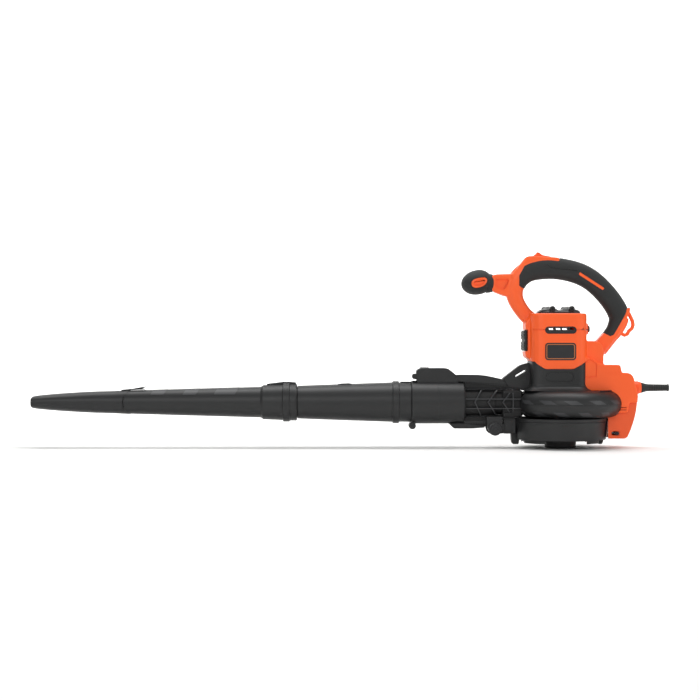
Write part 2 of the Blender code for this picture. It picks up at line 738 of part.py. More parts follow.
def make_rotor():
    shaft = cylinder(SHAFT_RADIUS, 0.0625, SHAFT_TOP, name="shaft", sides=16)
    finish(shaft, "rotor_shaft", "steel")
    bore = SHAFT_RADIUS + GAP
    high = CORE_LOW + CORE_HEIGHT
    armature = [(bore, high + 0.008), (0.019, high + 0.008), (0.019, high)]
    armature += [(ARMATURE_RADIUS, high), (ARMATURE_RADIUS, CORE_LOW), (0.019, CORE_LOW)]
    armature += [(0.019, CORE_LOW - 0.008), (bore, CORE_LOW - 0.008)]
    finish(turned(armature, closed=True, name="armature"), "armature", "copper")
    low, high = COMMUTATOR_Z - 0.0065, COMMUTATOR_Z + 0.0065
    ring = [(bore, high), (COMMUTATOR_RADIUS, high), (COMMUTATOR_RADIUS, low), (bore, low)]
    finish(turned(ring, closed=True, name="commutator"), "commutator", "copper")
    plate_low, plate_high = IMPELLER_PLATE_Z - 0.0025, IMPELLER_PLATE_Z
    hub = [(bore, 0.1040), (0.012, 0.1040), (0.014, plate_high), (IMPELLER_RADIUS, plate_high)]
    hub += [(IMPELLER_RADIUS, plate_low), (0.016, plate_low), (0.012, 0.0705), (bore, 0.0705)]
    impeller = turned(hub, closed=True, sides=BIG_SIDES, name="impeller")
    for number in range(BLADES):
        turn = 2 * math.pi * number / BLADES
        inner = arc((0, 0.040), 0.044, -68, 32, 3)
        outer = arc((0, 0.040), 0.046, 32, -68, 3)
        points = [
            (
                x * math.cos(turn) - y * math.sin(turn),
                x * math.sin(turn) + y * math.cos(turn),
            )
            for x, y in inner + outer
        ]
        blade = outline(points, IMPELLER_LOW, plate_low + 0.001, "XY", f"blade_{number}")
        join(impeller, blade)
    finish(impeller, "impeller", "black_plastic")
    nut = cylinder(0.0075, 0.0650, 0.0702, sides=6, name="nut")
    cut(nut, cylinder(bore, 0.05, 0.09, name="nut_bore"))
    finish(nut, "impeller_nut", "steel")


def bearing(z, name):
    low, high = z, z + BEARING_WIDTH
    bore = SHAFT_RADIUS + GAP
    ring = [(bore, high), (BEARING_RADIUS, high), (BEARING_RADIUS, low), (bore, low)]
    finish(turned(ring, closed=True, name="bearing"), name, "steel")


def bearing_carrier(low, radius, name):
    """A disc with a cup that the bearing drops into from above."""
    seat, top = low + 0.0030, low + 0.0030 + BEARING_WIDTH
    cup = BEARING_RADIUS + GAP
    lip = BEARING_RADIUS - 0.0025
    ring = [(cup, top), (0.0155, top), (0.0155, seat), (radius, seat), (radius, low)]
    ring += [(lip, low), (lip, seat - GAP), (cup, seat - GAP)]
    finish(turned(ring, closed=True, sides=TUBE_SIDES, name=name), name, "black_plastic")
    bearing(seat, name.replace("plate", "bearing").replace("bracket", "bearing"))


def make_motor():
    high = CORE_LOW + CORE_HEIGHT
    bore = ARMATURE_RADIUS + 0.0008
    ring = [(bore, high), (CORE_RADIUS, high), (CORE_RADIUS, CORE_LOW), (bore, CORE_LOW)]
    core = turned(ring, closed=True, sides=TUBE_SIDES, name="core")
    for sign_x in (-1, 1):
        for sign_y in (-1, 1):
            low_x, high_x = sorted((sign_x * 0.0268, sign_x * 0.0342))
            low_y, high_y = sorted((sign_y * 0.0125, sign_y * 0.0185))
            cut(core, box((low_x, low_y, CORE_LOW - 0.01), (high_x, high_y, high + 0.01)))
        low_x, high_x = sorted((sign_x * 0.0271, sign_x * 0.0339))
        coil = box((low_x, -0.0182, CORE_LOW - 0.006), (high_x, 0.0182, high + 0.006), "coil")
        cut(
            coil,
            box((low_x - 0.01, -0.0128, CORE_LOW - GAP), (high_x + 0.01, 0.0128, high + GAP)),
        )
        finish(coil, "field_coil_front" if sign_x < 0 else "field_coil_rear", "copper")
    finish(core, "field_core", "steel")
    bearing_carrier(LOWER_CARRIER_Z, LOWER_CARRIER_RADIUS, "lower_plate")
    bearing_carrier(UPPER_CARRIER_Z, UPPER_CARRIER_RADIUS, "upper_bracket")
    for side, sign in (("left", -1), ("right", 1)):
        half = BRUSH_SIZE / 2
        near = COMMUTATOR_RADIUS + 0.0004
        low, high = sorted((sign * near, sign * 0.0280))
        brush = box((-half, low, COMMUTATOR_Z - half), (half, high, COMMUTATOR_Z + half), "brush")
        finish(brush, f"carbon_brush_{side}", "carbon")
        outer = half + 0.002
        bore = half + GAP
        low, high = sorted((sign * (near + 0.002), sign * 0.0330))
        holder = box(
            (-outer, low, COMMUTATOR_Z - outer), (outer, high, COMMUTATOR_Z + outer), "holder"
        )
        cut(
            holder,
            box(
                (-bore, low - 0.01, COMMUTATOR_Z - bore),
                (bore, high + 0.01, COMMUTATOR_Z + bore),
                "holder_bore",
            ),
        )
        finish(holder, f"brush_holder_{side}", "steel")


def make_fan_housing():
    """The volute's upper and lower shells, the motor's base and the outlet duct with hinge ears."""
    middle = (FAN_HIGH + FAN_LOW) / 2
    outer, inner = fan_profile(0), fan_profile(WALL)
    seam = [(FAN_RADIUS, middle), (FAN_RADIUS - WALL, middle)]
    up, down = GAP / 2, -GAP / 2
    outer_above = [(r, z) for r, z in outer if z > middle + 0.001]
    inner_above = [(r, z) for r, z in inner if z > middle + 0.001]
    outer_below = [(r, z) for r, z in outer if z < middle - 0.001]
    inner_below = [(r, z) for r, z in inner if z < middle - 0.001]
    upper = outer_above + [(r, z + up) for r, z in seam] + inner_above[::-1]
    lower = inner_below[::-1] + [(r, z + down) for r, z in reversed(seam)] + outer_below
    centre = (FAN_X, 0, 0)
    port = (-0.12, -0.029, FAN_LOW + WALL + 0.002), (-0.060, 0.029, FAN_HIGH - WALL - 0.002)
    top = turned(upper, centre, sides=BIG_SIDES, name="fan_top")
    cut(top, cylinder(SHAFT_HOLE, 0.10, 0.12, name="shaft_hole"), box(*port))
    finish(top, "fan_housing_upper", "black_plastic")
    bottom = turned(lower, centre, sides=BIG_SIDES, name="fan_bottom")
    cut(bottom, cylinder(EYE_RADIUS, 0.05, 0.07, sides=BIG_SIDES, name="eye"), box(*port))
    finish(bottom, "fan_housing_lower", "black_plastic")

    base = outline(motor_plan(0), FAN_HIGH + GAP, HOUSING_LOW - GAP, "XY", "base")
    cut(base, outline(motor_plan(WALL), 0.10, 0.17, "XY", "base_space_inside"))
    finish(base, "motor_base", "black_plastic")


def make_duct():
    front, back = SOCKET_X[1] + GAP, FAN_X - FAN_RADIUS - 0.0035
    duct = cylinder(DUCT_RADIUS, front, back, (0, TUBE_Z), "X", TUBE_SIDES, "duct")
    throat = box((back - 0.004, -0.032, 0.0604), (-0.060, 0.032, 0.1064), "throat")
    foot = outline(
        [(front, 0.0357), (-0.1440, 0.0374), (-0.1440, 0.0600), (front, 0.0600)], -0.012, 0.012
    )
    ear_near = ARM_HALF_WIDTH + 0.0004
    ears = [
        box((HINGE_X - 0.0135, low, 0.0250), (HINGE_X + 0.0140, high, 0.0720), f"ear_{side}")
        for side, low, high in mirrored_y((ear_near, ear_near + EAR_THICKNESS))
    ]
    join(duct, throat, foot, *ears)
    inner = DUCT_RADIUS - WALL
    cut(
        duct,
        cylinder(inner, front - 0.01, back - WALL, (0, TUBE_Z), "X", TUBE_SIDES, "duct_bore"),
        box((back - 0.012, -0.029, 0.0634), (-0.050, 0.029, 0.1034), "throat_bore"),
        fan_envelope(GAP),
        cylinder(PIN_RADIUS + GAP, -0.05, 0.05, (HINGE_X, HINGE_Z), "Y", PIN_SIDES, "ear_bore"),
    )
    finish(duct, "outlet_duct", "black_plastic")
    far = ear_near + EAR_THICKNESS + GAP
    pin = [(0, far), (PIN_RADIUS, far), (PIN_RADIUS, -far), (0.0125, -far)]
    pin += [(0.0125, -far - 0.0045), (0, -far - 0.0045)]
    finish(turned(pin, (HINGE_X, 0, HINGE_Z), "Y", name="pin"), "hinge_pin", "black_plastic")
    cap = cylinder(0.0125, far + GAP, far + 0.0045, (HINGE_X, HINGE_Z), "Y", name="cap")
    finish(cap, "hinge_cap", "black_plastic")
    bracket = outline(
        [(-0.0566, 0.1619), (-0.0735, 0.1581), (-0.0808, 0.1543), (-0.1102, 0.1311)]
        + [(-0.1083, 0.1267), (-0.0994, 0.1175), (-0.0900, 0.1165)]
        + [(-0.0817, 0.1136), (-0.0566, 0.1136)],
        -0.012,
        0.012,
        name="bracket",
    )
    strap_slot = [(-0.0857, 0.1312), (-0.0857, 0.1362), (-0.0665, 0.1482), (-0.0665, 0.1432)]
    cut(bracket, outline(strap_slot, -0.05, 0.05, name="strap_slot"))
    finish(bracket, "strap_bracket", "black_plastic")
    cover = outline(
        [(-0.1832, 0.1387), (-0.1832, 0.1165), (-0.1108, 0.1165), (-0.1108, 0.1305)]
        + [(-0.1245, 0.1332), (-0.1408, 0.1366), (-0.1626, 0.1387)],
        -0.018,
        0.018,
        name="neck_cover",
    )
    finish(cover, "neck_cover", "black_plastic")


def make_socket():
    """The round socket that the rear tube plugs into, with its latch housing and button."""
    low, high = SOCKET_X
    bore = SPIGOT_RADIUS + GAP
    ring = [(DUCT_RADIUS - WALL, high), (SOCKET_RADIUS, high), (SOCKET_RADIUS, low), (bore, low)]
    ring += [(bore, high - 0.004), (DUCT_RADIUS - WALL, high - 0.004)]
    socket = turned(ring, (0, 0, TUBE_Z), "X", TUBE_SIDES, True, "socket")
    flange_low, flange_high = 0.0357, 0.0480
    flange = outline(
        [(-0.2109, flange_high), (-0.2025, flange_low), (high, flange_low), (high, flange_high)],
        -0.012,
        0.012,
    )
    lug = cylinder(0.0068, -0.017, 0.017, (-0.2763, 0.0416), "Y", PIN_SIDES, "lug")
    join(socket, flange, lug)
    bore_end = high - 0.004
    cut(socket, cylinder(bore, low - 0.02, bore_end, (0, TUBE_Z), "X", TUBE_SIDES, "socket_bore"))
    finish(socket, "tube_socket", "black_plastic")

    half = LATCH_HALF_WIDTH
    latch = outline(
        [(-0.2749, LATCH_TOP - 0.0286), (-0.1936, LATCH_TOP - 0.0286)]
        + [(-0.1936, LATCH_TOP - 0.0215), (-0.1991, LATCH_TOP - 0.0128)]
        + [(-0.2155, LATCH_TOP), (-0.2704, LATCH_TOP), (-0.2749, LATCH_TOP - 0.0041)],
        -half,
        half,
        name="latch",
    )
    lug_centre = (-0.2765, LATCH_TOP - 0.0164)
    join(latch, cylinder(0.0055, -half, half, lug_centre, "Y", PIN_SIDES, "upper_lug"))
    inner_top = LATCH_TOP - WALL
    space_x = (BUTTON_X[0] - 0.0040, BUTTON_X[1] + 0.0040)
    cut(
        latch,
        cylinder(SOCKET_RADIUS + GAP, -0.4, -0.1, (0, TUBE_Z), "X", TUBE_SIDES, "socket_space"),
        box((space_x[0], -0.0135, TUBE_Z), (space_x[1], 0.0135, inner_top), "button_space"),
        box(
            (BUTTON_X[0] - 0.0005, -BUTTON_HALF_WIDTH - 0.0005, LATCH_TOP - 0.0111),
            (BUTTON_X[1] + 0.0005, BUTTON_HALF_WIDTH + 0.0005, LATCH_TOP + 0.0189),
            "button_window",
        ),
    )
    finish(latch, "latch_housing", "black_plastic")
    button = box(
        (BUTTON_X[0], -BUTTON_HALF_WIDTH, inner_top - 0.003),
        (BUTTON_X[1], BUTTON_HALF_WIDTH, BUTTON_TOP),
        "button",
    )
    flange = box(
        (space_x[0] + 0.0008, -0.0120, inner_top - 0.0035),
        (space_x[1] - 0.0008, 0.0120, inner_top - GAP),
        "button_flange",
    )
    finish(join(button, flange), "release_button", "black_plastic")
    turns, per_turn = 5, 8
    low, high = TUBE_Z + SOCKET_RADIUS + 0.0015, inner_top - 0.0045
    coil = []
    for i in range(turns * per_turn + 1):
        angle = 2 * math.pi * i / per_turn
        x = sum(BUTTON_X) / 2 + 0.005 * math.cos(angle)
        z = low + (high - low) * i / (turns * per_turn)
        coil.append((x, 0.005 * math.sin(angle), z, 0.0005))
    finish(tube(coil, "spring", 1.0, 1), "release_spring", "steel")


def make_tubes():
    """Rear tube, front tube with its collar, and the flat nozzle."""
    socket_end = SOCKET_X[0] - GAP
    bead_x = REAR_TUBE_X[1] - 0.012
    front_small, front_big = REAR_TUBE_RADII
    plug = front_small - 0.0014
    plug_end = REAR_TUBE_X[0] - 0.052
    wall = TUBE_WALL
    outer = [(SPIGOT_RADIUS, socket_end + SPIGOT_LENGTH), (SPIGOT_RADIUS, REAR_TUBE_X[1])]
    bead_radius = SPIGOT_RADIUS + TUBE_BEAD
    outer += [(bead_radius, REAR_TUBE_X[1] - GAP), (bead_radius, bead_x)]
    outer += [(front_big, bead_x - GAP)]
    outer += [(front_small, REAR_TUBE_X[0]), (plug, REAR_TUBE_X[0] - 0.0003), (plug, plug_end)]
    inner = [(plug - wall, plug_end), (plug - wall, REAR_TUBE_X[0])]
    inner += [(front_big - wall, bead_x), (SPIGOT_RADIUS - wall, REAR_TUBE_X[1])]
    inner += [(SPIGOT_RADIUS - wall, socket_end + SPIGOT_LENGTH)]
    rear = turned(outer + inner, (0, 0, TUBE_Z), "X", TUBE_SIDES, True, "rear_tube_solid")
    finish(rear, "rear_tube", "black_plastic")

    collar_back = REAR_TUBE_X[0] - 0.0016
    collar_front = collar_back - COLLAR_LENGTH
    small, big = FRONT_TUBE_RADII
    front_end = collar_front - FRONT_TUBE_LENGTH
    neck = small - wall - GAP
    neck_end = front_end - NOZZLE_OVERLAP
    bead = (collar_back - 0.0137, collar_back - 0.0263)
    outer = [(COLLAR_RADIUS, collar_back), (COLLAR_RADIUS, bead[0]), (0.0372, bead[0] - 0.0003)]
    outer += [(0.0372, bead[1]), (COLLAR_RADIUS - 0.0008, bead[1] - 0.0003)]
    outer += [(0.0325, collar_front), (big, collar_front - 0.0012), (small, front_end)]
    outer += [(neck, front_end - 0.0003), (neck, neck_end)]
    inner = [(neck - wall, neck_end), (neck - wall, front_end), (big - wall, collar_front)]
    inner += [(big - wall, plug_end - 0.0020), (plug + GAP, plug_end - 0.0018)]
    inner += [(plug + GAP, collar_back)]
    front = turned(outer + inner, (0, 0, TUBE_Z), "X", TUBE_SIDES, True, "front_tube_solid")
    finish(front, "front_tube", "black_plastic")
    make_nozzle(front_end - 0.0006, small)


def nozzle_section(x, half_width, half_height, sides=20):
    """A closed ring of points, from a circle towards a flat oval."""
    squareness = 1.0 - 0.35 * (half_width - half_height) / half_width
    ring = []
    for i in range(sides):
        angle = 2 * math.pi * i / sides
        c, s = math.cos(angle), math.sin(angle)
        ring.append(
            (
                x,
                half_width * math.copysign(abs(c) ** squareness, c),
                TUBE_Z + half_height * math.copysign(abs(s) ** squareness, s),
            )
        )
    return ring


def make_nozzle(back, radius):
    """A loft from the round tube to the flat tip, outside and inside, joined at both ends."""
    tip = back - NOZZLE_LENGTH
    straight = back - NOZZLE_OVERLAP - 0.001
    wall = TUBE_WALL

    def sizes(share, inset):
        """Half width and half height at a share of the way to the tip."""
        ease = share**1.35
        width = radius + (TIP_HALF_WIDTH - radius) * share**1.5
        height = radius + (TIP_HALF_HEIGHT - radius) * ease
        return width - inset, height - inset

    outside = [0, 0.25, 0.5, 0.75, 0.92, 1.0]
    rings = [nozzle_section(back + (tip - back) * s, *sizes(s, 0)) for s in outside]
    first = (straight - back) / (tip - back)
    inside = [1.0, 0.92, 0.75, 0.5]
    rings += [nozzle_section(back + (tip - back) * s, *sizes(s, wall)) for s in inside]
    rings += [nozzle_section(straight, radius - wall, radius - wall)]
    rings += [nozzle_section(back, radius - wall, radius - wall)]
    bm = bmesh.new()
    loops = [[bm.verts.new(point) for point in ring] for ring in rings]
    for this, following in zip(loops, loops[1:] + loops[:1]):
        count = len(this)
        for i in range(count):
            bm.faces.new((this[i], this[(i + 1) % count], following[(i + 1) % count], following[i]))
    bmesh.ops.recalc_face_normals(bm, faces=bm.faces)
    mesh = bpy.data.meshes.new("nozzle")
    bm.to_mesh(mesh)
    bm.free()
    finish(helper("nozzle_solid", mesh), "nozzle", "black_plastic")


def make_guard():
    """The hinged intake guard: drum, grille, hub foot, feet and hinge arm in one moulding."""
    wall = 0.0025
    bottom = GUARD_RADIUS - 0.0038
    rim = FAN_LOW - 0.0015
    profile = [(0, wall), (HUB_RADIUS - wall, wall), (HUB_RADIUS - wall, GUARD_LOW + wall)]
    profile += [(bottom - wall, GUARD_LOW + wall), (GUARD_RADIUS - wall, rim), (GUARD_RADIUS, rim)]
    profile += [(bottom, GUARD_LOW), (HUB_RADIUS + 0.0005, GUARD_LOW), (HUB_RADIUS - 0.0005, 0)]
    profile += [(0, 0)]
    guard = turned(profile, sides=BIG_SIDES, name="guard")
    arm_half = ARM_HALF_WIDTH
    block = box((-0.110, -arm_half, 0.0264), (-0.0840, arm_half, 0.0530), "arm_block")
    arm = box((HINGE_X, -arm_half, 0.0285), (-0.100, arm_half, 0.0437), "arm")
    knuckle = cylinder(
        KNUCKLE_RADIUS, -arm_half, arm_half, (HINGE_X, HINGE_Z), "Y", SMALL_SIDES, "knuckle"
    )
    front_foot = box((-0.0945, -0.010, FOOT_Z), (-0.0780, 0.010, 0.0300), "front_foot")
    rear_foot = box((0.0660, -0.008, FOOT_Z), (0.0800, 0.008, 0.0200), "rear_foot")
    join(guard, block, arm, knuckle, front_foot, rear_foot)
    cut(
        guard,
        cylinder(PIN_RADIUS + GAP, -0.05, 0.05, (HINGE_X, HINGE_Z), "Y", PIN_SIDES, "knuckle_bore"),
        grille_cutter(),
    )
    finish(guard, "intake_guard", "black_plastic")


def grille_cutter():
    """Radial slots through the guard's bottom plate, as one cutter; none under the feet."""
    bm = bmesh.new()
    for number in range(GRILLE_SLOTS):
        angle = 2 * math.pi * (number + 0.5) / GRILLE_SLOTS
        turn = Matrix.Rotation(angle, 4, "Z") @ Matrix.Translation((0.054, 0, GUARD_LOW))
        bmesh.ops.create_cube(bm, size=1.0, matrix=turn @ Matrix.Diagonal((0.038, 0.007, 0.012, 1)))
    mesh = bpy.data.meshes.new("grille_slots")
    bm.to_mesh(mesh)
    bm.free()
    return helper("grille_slots", mesh)


def main():
    start_scene()
    make_housing()
    make_inlays()
    make_grip()
    make_switch()
    make_knob()
    make_screws()
    make_rear()
    make_rotor()
    make_motor()
    make_fan_housing()
    make_duct()
    make_socket()
    make_tubes()
    make_guard()


main()
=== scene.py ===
"""Looks of the corded leaf blower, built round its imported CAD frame.

Shapes are worked in millimetres in the frame's own axes and become metres when a piece is finished.
The blow tubes run to -X on one level axis, the motor's axis is Z, and -Y is the left side.
"""

import math

import bmesh
import bpy
from mathutils import Matrix, Vector


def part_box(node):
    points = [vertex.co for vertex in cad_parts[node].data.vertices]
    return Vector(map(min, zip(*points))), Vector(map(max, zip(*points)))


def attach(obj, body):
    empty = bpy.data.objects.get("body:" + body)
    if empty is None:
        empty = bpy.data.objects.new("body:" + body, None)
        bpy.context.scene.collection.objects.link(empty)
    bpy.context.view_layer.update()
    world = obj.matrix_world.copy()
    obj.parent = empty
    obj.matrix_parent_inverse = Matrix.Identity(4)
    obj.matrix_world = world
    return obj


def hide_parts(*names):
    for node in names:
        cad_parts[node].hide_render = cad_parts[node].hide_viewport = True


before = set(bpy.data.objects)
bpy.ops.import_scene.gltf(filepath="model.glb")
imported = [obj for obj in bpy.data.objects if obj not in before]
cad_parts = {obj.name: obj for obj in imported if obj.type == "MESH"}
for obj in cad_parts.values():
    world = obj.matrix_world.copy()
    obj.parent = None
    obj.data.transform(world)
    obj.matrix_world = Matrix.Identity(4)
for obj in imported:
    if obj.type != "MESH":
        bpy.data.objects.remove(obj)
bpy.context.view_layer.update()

MM = 0.001
SMOOTH_ANGLE = 38
ROUND = 96
TAU = 2 * math.pi


# ---- shapes ----------------------------------------------------------------------------------------


def cad(node):
    """(lowest, highest) corner of a CAD node, in millimetres."""
    low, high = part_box(node)
    return low / MM, high / MM


def middle_of(node):
    """A CAD node's middle in the side view, as x and z in millimetres."""
    low, high = cad(node)
    return (low.x + high.x) / 2, (low.z + high.z) / 2


def rectangle(low_x, high_x, low_z, high_z, corner=0.0):
    """A level rectangle's four points, each with the same corner radius."""
    return [(low_x, low_z, corner), (high_x, low_z, corner), (high_x, high_z, corner),
        (low_x, high_z, corner)]


def cleaned(bm):
    """Merges doubled points, then points every face outwards."""
    bmesh.ops.remove_doubles(bm, verts=bm.verts, dist=0.005)
    bmesh.ops.recalc_face_normals(bm, faces=bm.faces)
    return bm


def rounded(bm, geom, width, steps, affect):
    """Rounds points ("VERTICES") or edges ("EDGES"); only edges are kept from running into each other."""
    bmesh.ops.bevel(
        bm,
        geom=geom,
        offset=width,
        offset_type="OFFSET",
        segments=steps,
        profile=0.5,
        affect=affect,
        material=-1,
        clamp_overlap=affect == "EDGES",
    )


def flat_face(points, corner=0.0, steps=4):
    """One flat face in XZ; a point is (x, z) or (x, z, its own corner radius)."""
    bm = bmesh.new()
    radii = {}
    verts = []
    for point in points:
        vert = bm.verts.new((point[0], 0, point[1]))
        verts.append(vert)
        radii.setdefault(point[2] if len(point) > 2 else corner, []).append(vert)
    bm.faces.new(verts)
    for radius, group in radii.items():
        if radius > 0:
            rounded(bm, group, radius, steps, "VERTICES")
    return bm


def eased(bm, width, steps=3, above=40):
    """Rounds every edge sharper than an angle."""
    if width > 0:
        limit = math.radians(above)
        sharp = [e for e in bm.edges if len(e.link_faces) == 2 and e.calc_face_angle() > limit]
        rounded(bm, sharp, width, steps, "EDGES")
    return bm


def pushed(points, low, high, corner=0.0, edge=0.0, plane="XZ", steps=3):
    """An outline pushed from low to high across its plane, with its corners and its rims rounded."""
    bm = flat_face(points, corner)
    bmesh.ops.translate(bm, verts=bm.verts, vec=(0, low, 0))
    extruded = bmesh.ops.extrude_face_region(bm, geom=bm.faces[:])
    moved = [v for v in extruded["geom"] if isinstance(v, bmesh.types.BMVert)]
    bmesh.ops.translate(bm, verts=moved, vec=(0, high - low, 0))
    cleaned(bm)
    eased(bm, edge, steps, 60)
    if plane == "XY":
        turn = Matrix(((1, 0, 0, 0), (0, 0, 1, 0), (0, 1, 0, 0), (0, 0, 0, 1)))
        bmesh.ops.transform(bm, matrix=turn, verts=bm.verts)
        bmesh.ops.recalc_face_normals(bm, faces=bm.faces)
    return bm


def turned(profile, centre=(0, 0, 0), axis="X", corner=0.0, sides=ROUND, steps=3):
    """A profile of (along, radius) turned full circle; a profile that starts and ends at radius 0 is solid."""
    bm = flat_face(profile, corner, steps)
    bmesh.ops.delete(bm, geom=bm.faces[:], context="FACES_ONLY")
    on_axis = [e for e in bm.edges if all(abs(v.co.z) < 1e-6 for v in e.verts)]
    bmesh.ops.delete(bm, geom=on_axis, context="EDGES")
    bmesh.ops.spin(
        bm, geom=bm.verts[:] + bm.edges[:], axis=(1, 0, 0), angle=TAU, steps=sides, use_merge=True
    )
    facing = {"X": (0, "Z"), "Y": (TAU / 4, "Z"), "Z": (-TAU / 4, "Y")}
    turn, about = facing[axis]
    spot = Matrix.Translation(centre) @ Matrix.Rotation(turn, 4, about)
    bmesh.ops.transform(bm, matrix=spot, verts=bm.verts)
    return cleaned(bm)


def rod(radius, low, high, centre, axis="Y", edge=0.0, sides=32):
    """A round rod along an axis; centre gives the other two coordinates."""
    place = {"X": (0, centre[0], centre[1]), "Y": (centre[0], 0, centre[1]), "Z": (centre[0], centre[1], 0)}
    profile = [(low, 0, 0), (low, radius, edge), (high, radius, edge), (high, 0, 0)]
    return turned(profile, place[axis], axis, sides=sides)


def block(low, high, edge=0.0, steps=3):
    """A block between two corners with rounded edges."""
    size = Vector(high) - Vector(low)
    middle = (Vector(high) + Vector(low)) / 2
    bm = bmesh.new()
    bmesh.ops.create_cube(bm, size=1.0, matrix=Matrix.Translation(middle) @ Matrix.Diagonal((*size, 1)))
    return eased(bm, edge, steps)


def lofted(sections, sides=48):
    """A skin over rings; a section is (matrix, squareness), its ring a unit circle in the matrix's XY."""
    bm = bmesh.new()
    loops = []
    for matrix, squareness in sections:
        made = bmesh.ops.create_circle(bm, segments=sides, radius=1.0)["verts"]
        for vert in made:
            for i in (0, 1):
                vert.co[i] = math.copysign(abs(vert.co[i]) ** squareness, vert.co[i])
        bmesh.ops.transform(bm, matrix=matrix, verts=made)
        loops.append(list({e for v in made for e in v.link_edges}))
    for this, following in zip(loops, loops[1:]):
        bmesh.ops.bridge_loops(bm, edges=this + following)
    bmesh.ops.holes_fill(bm, edges=loops[0] + loops[-1], sides=0)
    return cleaned(bm)


def ring_matrix(centre, along, half_height, half_width):
    """A section across a direction in XZ: its height lies in XZ, its width in Y."""
    along = Vector((along[0], 0, along[1])).normalized()
    across = Vector((-along.z, 0, along.x))
    columns = (across * half_height, Vector((0, half_width, 0)), along)
    matrix = Matrix.Identity(4)
    for i, column in enumerate(columns):
        for j in range(3):
            matrix[j][i] = column[j]
    matrix.translation = Vector((centre[0], 0, centre[1]))
    return matrix


def merged(*shapes):
    """Several shapes as one mesh, left as they lie."""
    whole = bmesh.new()
    for shape in shapes:
        mesh = bpy.data.meshes.new("shape")
        shape.to_mesh(mesh)
        shape.free()
        whole.from_mesh(mesh)
        bpy.data.meshes.remove(mesh)
    return whole


def copied(bm, matrix=None):
    """A second shape like the first, moved by a matrix if one is given."""
    twin = bm.copy()
    if matrix:
        bmesh.ops.transform(twin, matrix=matrix, verts=twin.verts)
        bmesh.ops.recalc_face_normals(twin, faces=twin.faces)
    return twin


def stood_in(bm):
    """A throwaway object that holds a shape for a modifier to work on."""
    mesh = bpy.data.meshes.new("work")
    bm.to_mesh(mesh)
    bm.free()
    obj = bpy.data.objects.new("work", mesh)
    bpy.context.scene.collection.objects.link(obj)
    return obj


def taken_back(objects):
    """The first object's evaluated shape; every throwaway object is removed."""
    graph = bpy.context.evaluated_depsgraph_get()
    bm = bmesh.new()
    bm.from_mesh(objects[0].evaluated_get(graph).to_mesh())
    for obj in objects:
        bpy.data.meshes.remove(obj.data)
    return bm


def worked(base, operation, *tools):
    """A shape joined with, cut by or kept inside other shapes."""
    objects = [stood_in(base)] + [stood_in(tool) for tool in tools]
    for tool in objects[1:]:
        modifier = objects[0].modifiers.new("work", "BOOLEAN")
        modifier.operation = operation
        modifier.solver = "MANIFOLD"
        modifier.object = tool
    return taken_back(objects)


def softened(bm, voxel, rounds):
    """One even skin over joined shapes, with its creases relaxed into fillets."""
    obj = stood_in(bm)
    modifier = obj.modifiers.new("skin", "REMESH")
    modifier.mode = "VOXEL"
    modifier.voxel_size = voxel
    bm = taken_back([obj])
    for _ in range(rounds):
        bmesh.ops.smooth_vert(bm, verts=bm.verts, factor=0.5, use_axis_x=True, use_axis_y=True,
            use_axis_z=True)
    return bm


def piece(name, bm, look, body="chassis", replaces=(), even=True):
    """Finishes a shape: metres, smooth shading, finish, and the body that it moves with."""
    bmesh.ops.scale(bm, vec=(MM, MM, MM), verts=bm.verts)
    mesh = bpy.data.meshes.new(name)
    bm.to_mesh(mesh)
    bm.free()
    mesh.materials.append(look)
    mesh.shade_smooth()
    mesh.set_sharp_from_angle(angle=math.radians(SMOOTH_ANGLE))
    obj = bpy.data.objects.new(name, mesh)
    bpy.context.scene.collection.objects.link(obj)
    if even:
        modifier = obj.modifiers.new("even_shading", "WEIGHTED_NORMAL")
        modifier.keep_sharp = True
    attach(obj, body)
    if replaces:
        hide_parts(*replaces)
    return obj


def halves(whole, gap, name, look, slot, node):
    """Splits a shape at the middle plane into a left and a right piece, a hairline apart."""
    for side, low, high in (("left", -80, -gap), ("right", gap, 80)):
        half = worked(copied(whole), "INTERSECT", block((-300, low, 0), (300, high, 400)))
        piece(f"{name}_{side}", half, look, replaces=[f"{node}_{side}"], even=False)
    whole.free()


# ---- finishes --------------------------------------------------------------------------------------


def colour(hex_value):
    """An sRGB hex colour as linear red, green, blue and alpha."""
    parts = [int(hex_value[i : i + 2], 16) / 255 for i in (1, 3, 5)]
    linear = [p / 12.92 if p <= 0.04045 else ((p + 0.055) / 1.055) ** 2.4 for p in parts]
    return (*linear, 1.0)


def add(tree, kind, inputs=None, **settings):
    """Adds a node with its settings; an input's value is a number, a colour or another node's output."""
    node = tree.nodes.new("ShaderNode" + kind)
    for name, value in settings.items():
        setattr(node, name, value)
    for name, value in (inputs or {}).items():
        if isinstance(value, bpy.types.NodeSocket):
            tree.links.new(value, node.inputs[name])
        else:
            node.inputs[name].default_value = value
    return node


def per_mm(size):
    """A noise scale whose features are about that many millimetres across."""
    return 1000.0 / size


HAND_SIZE = 55


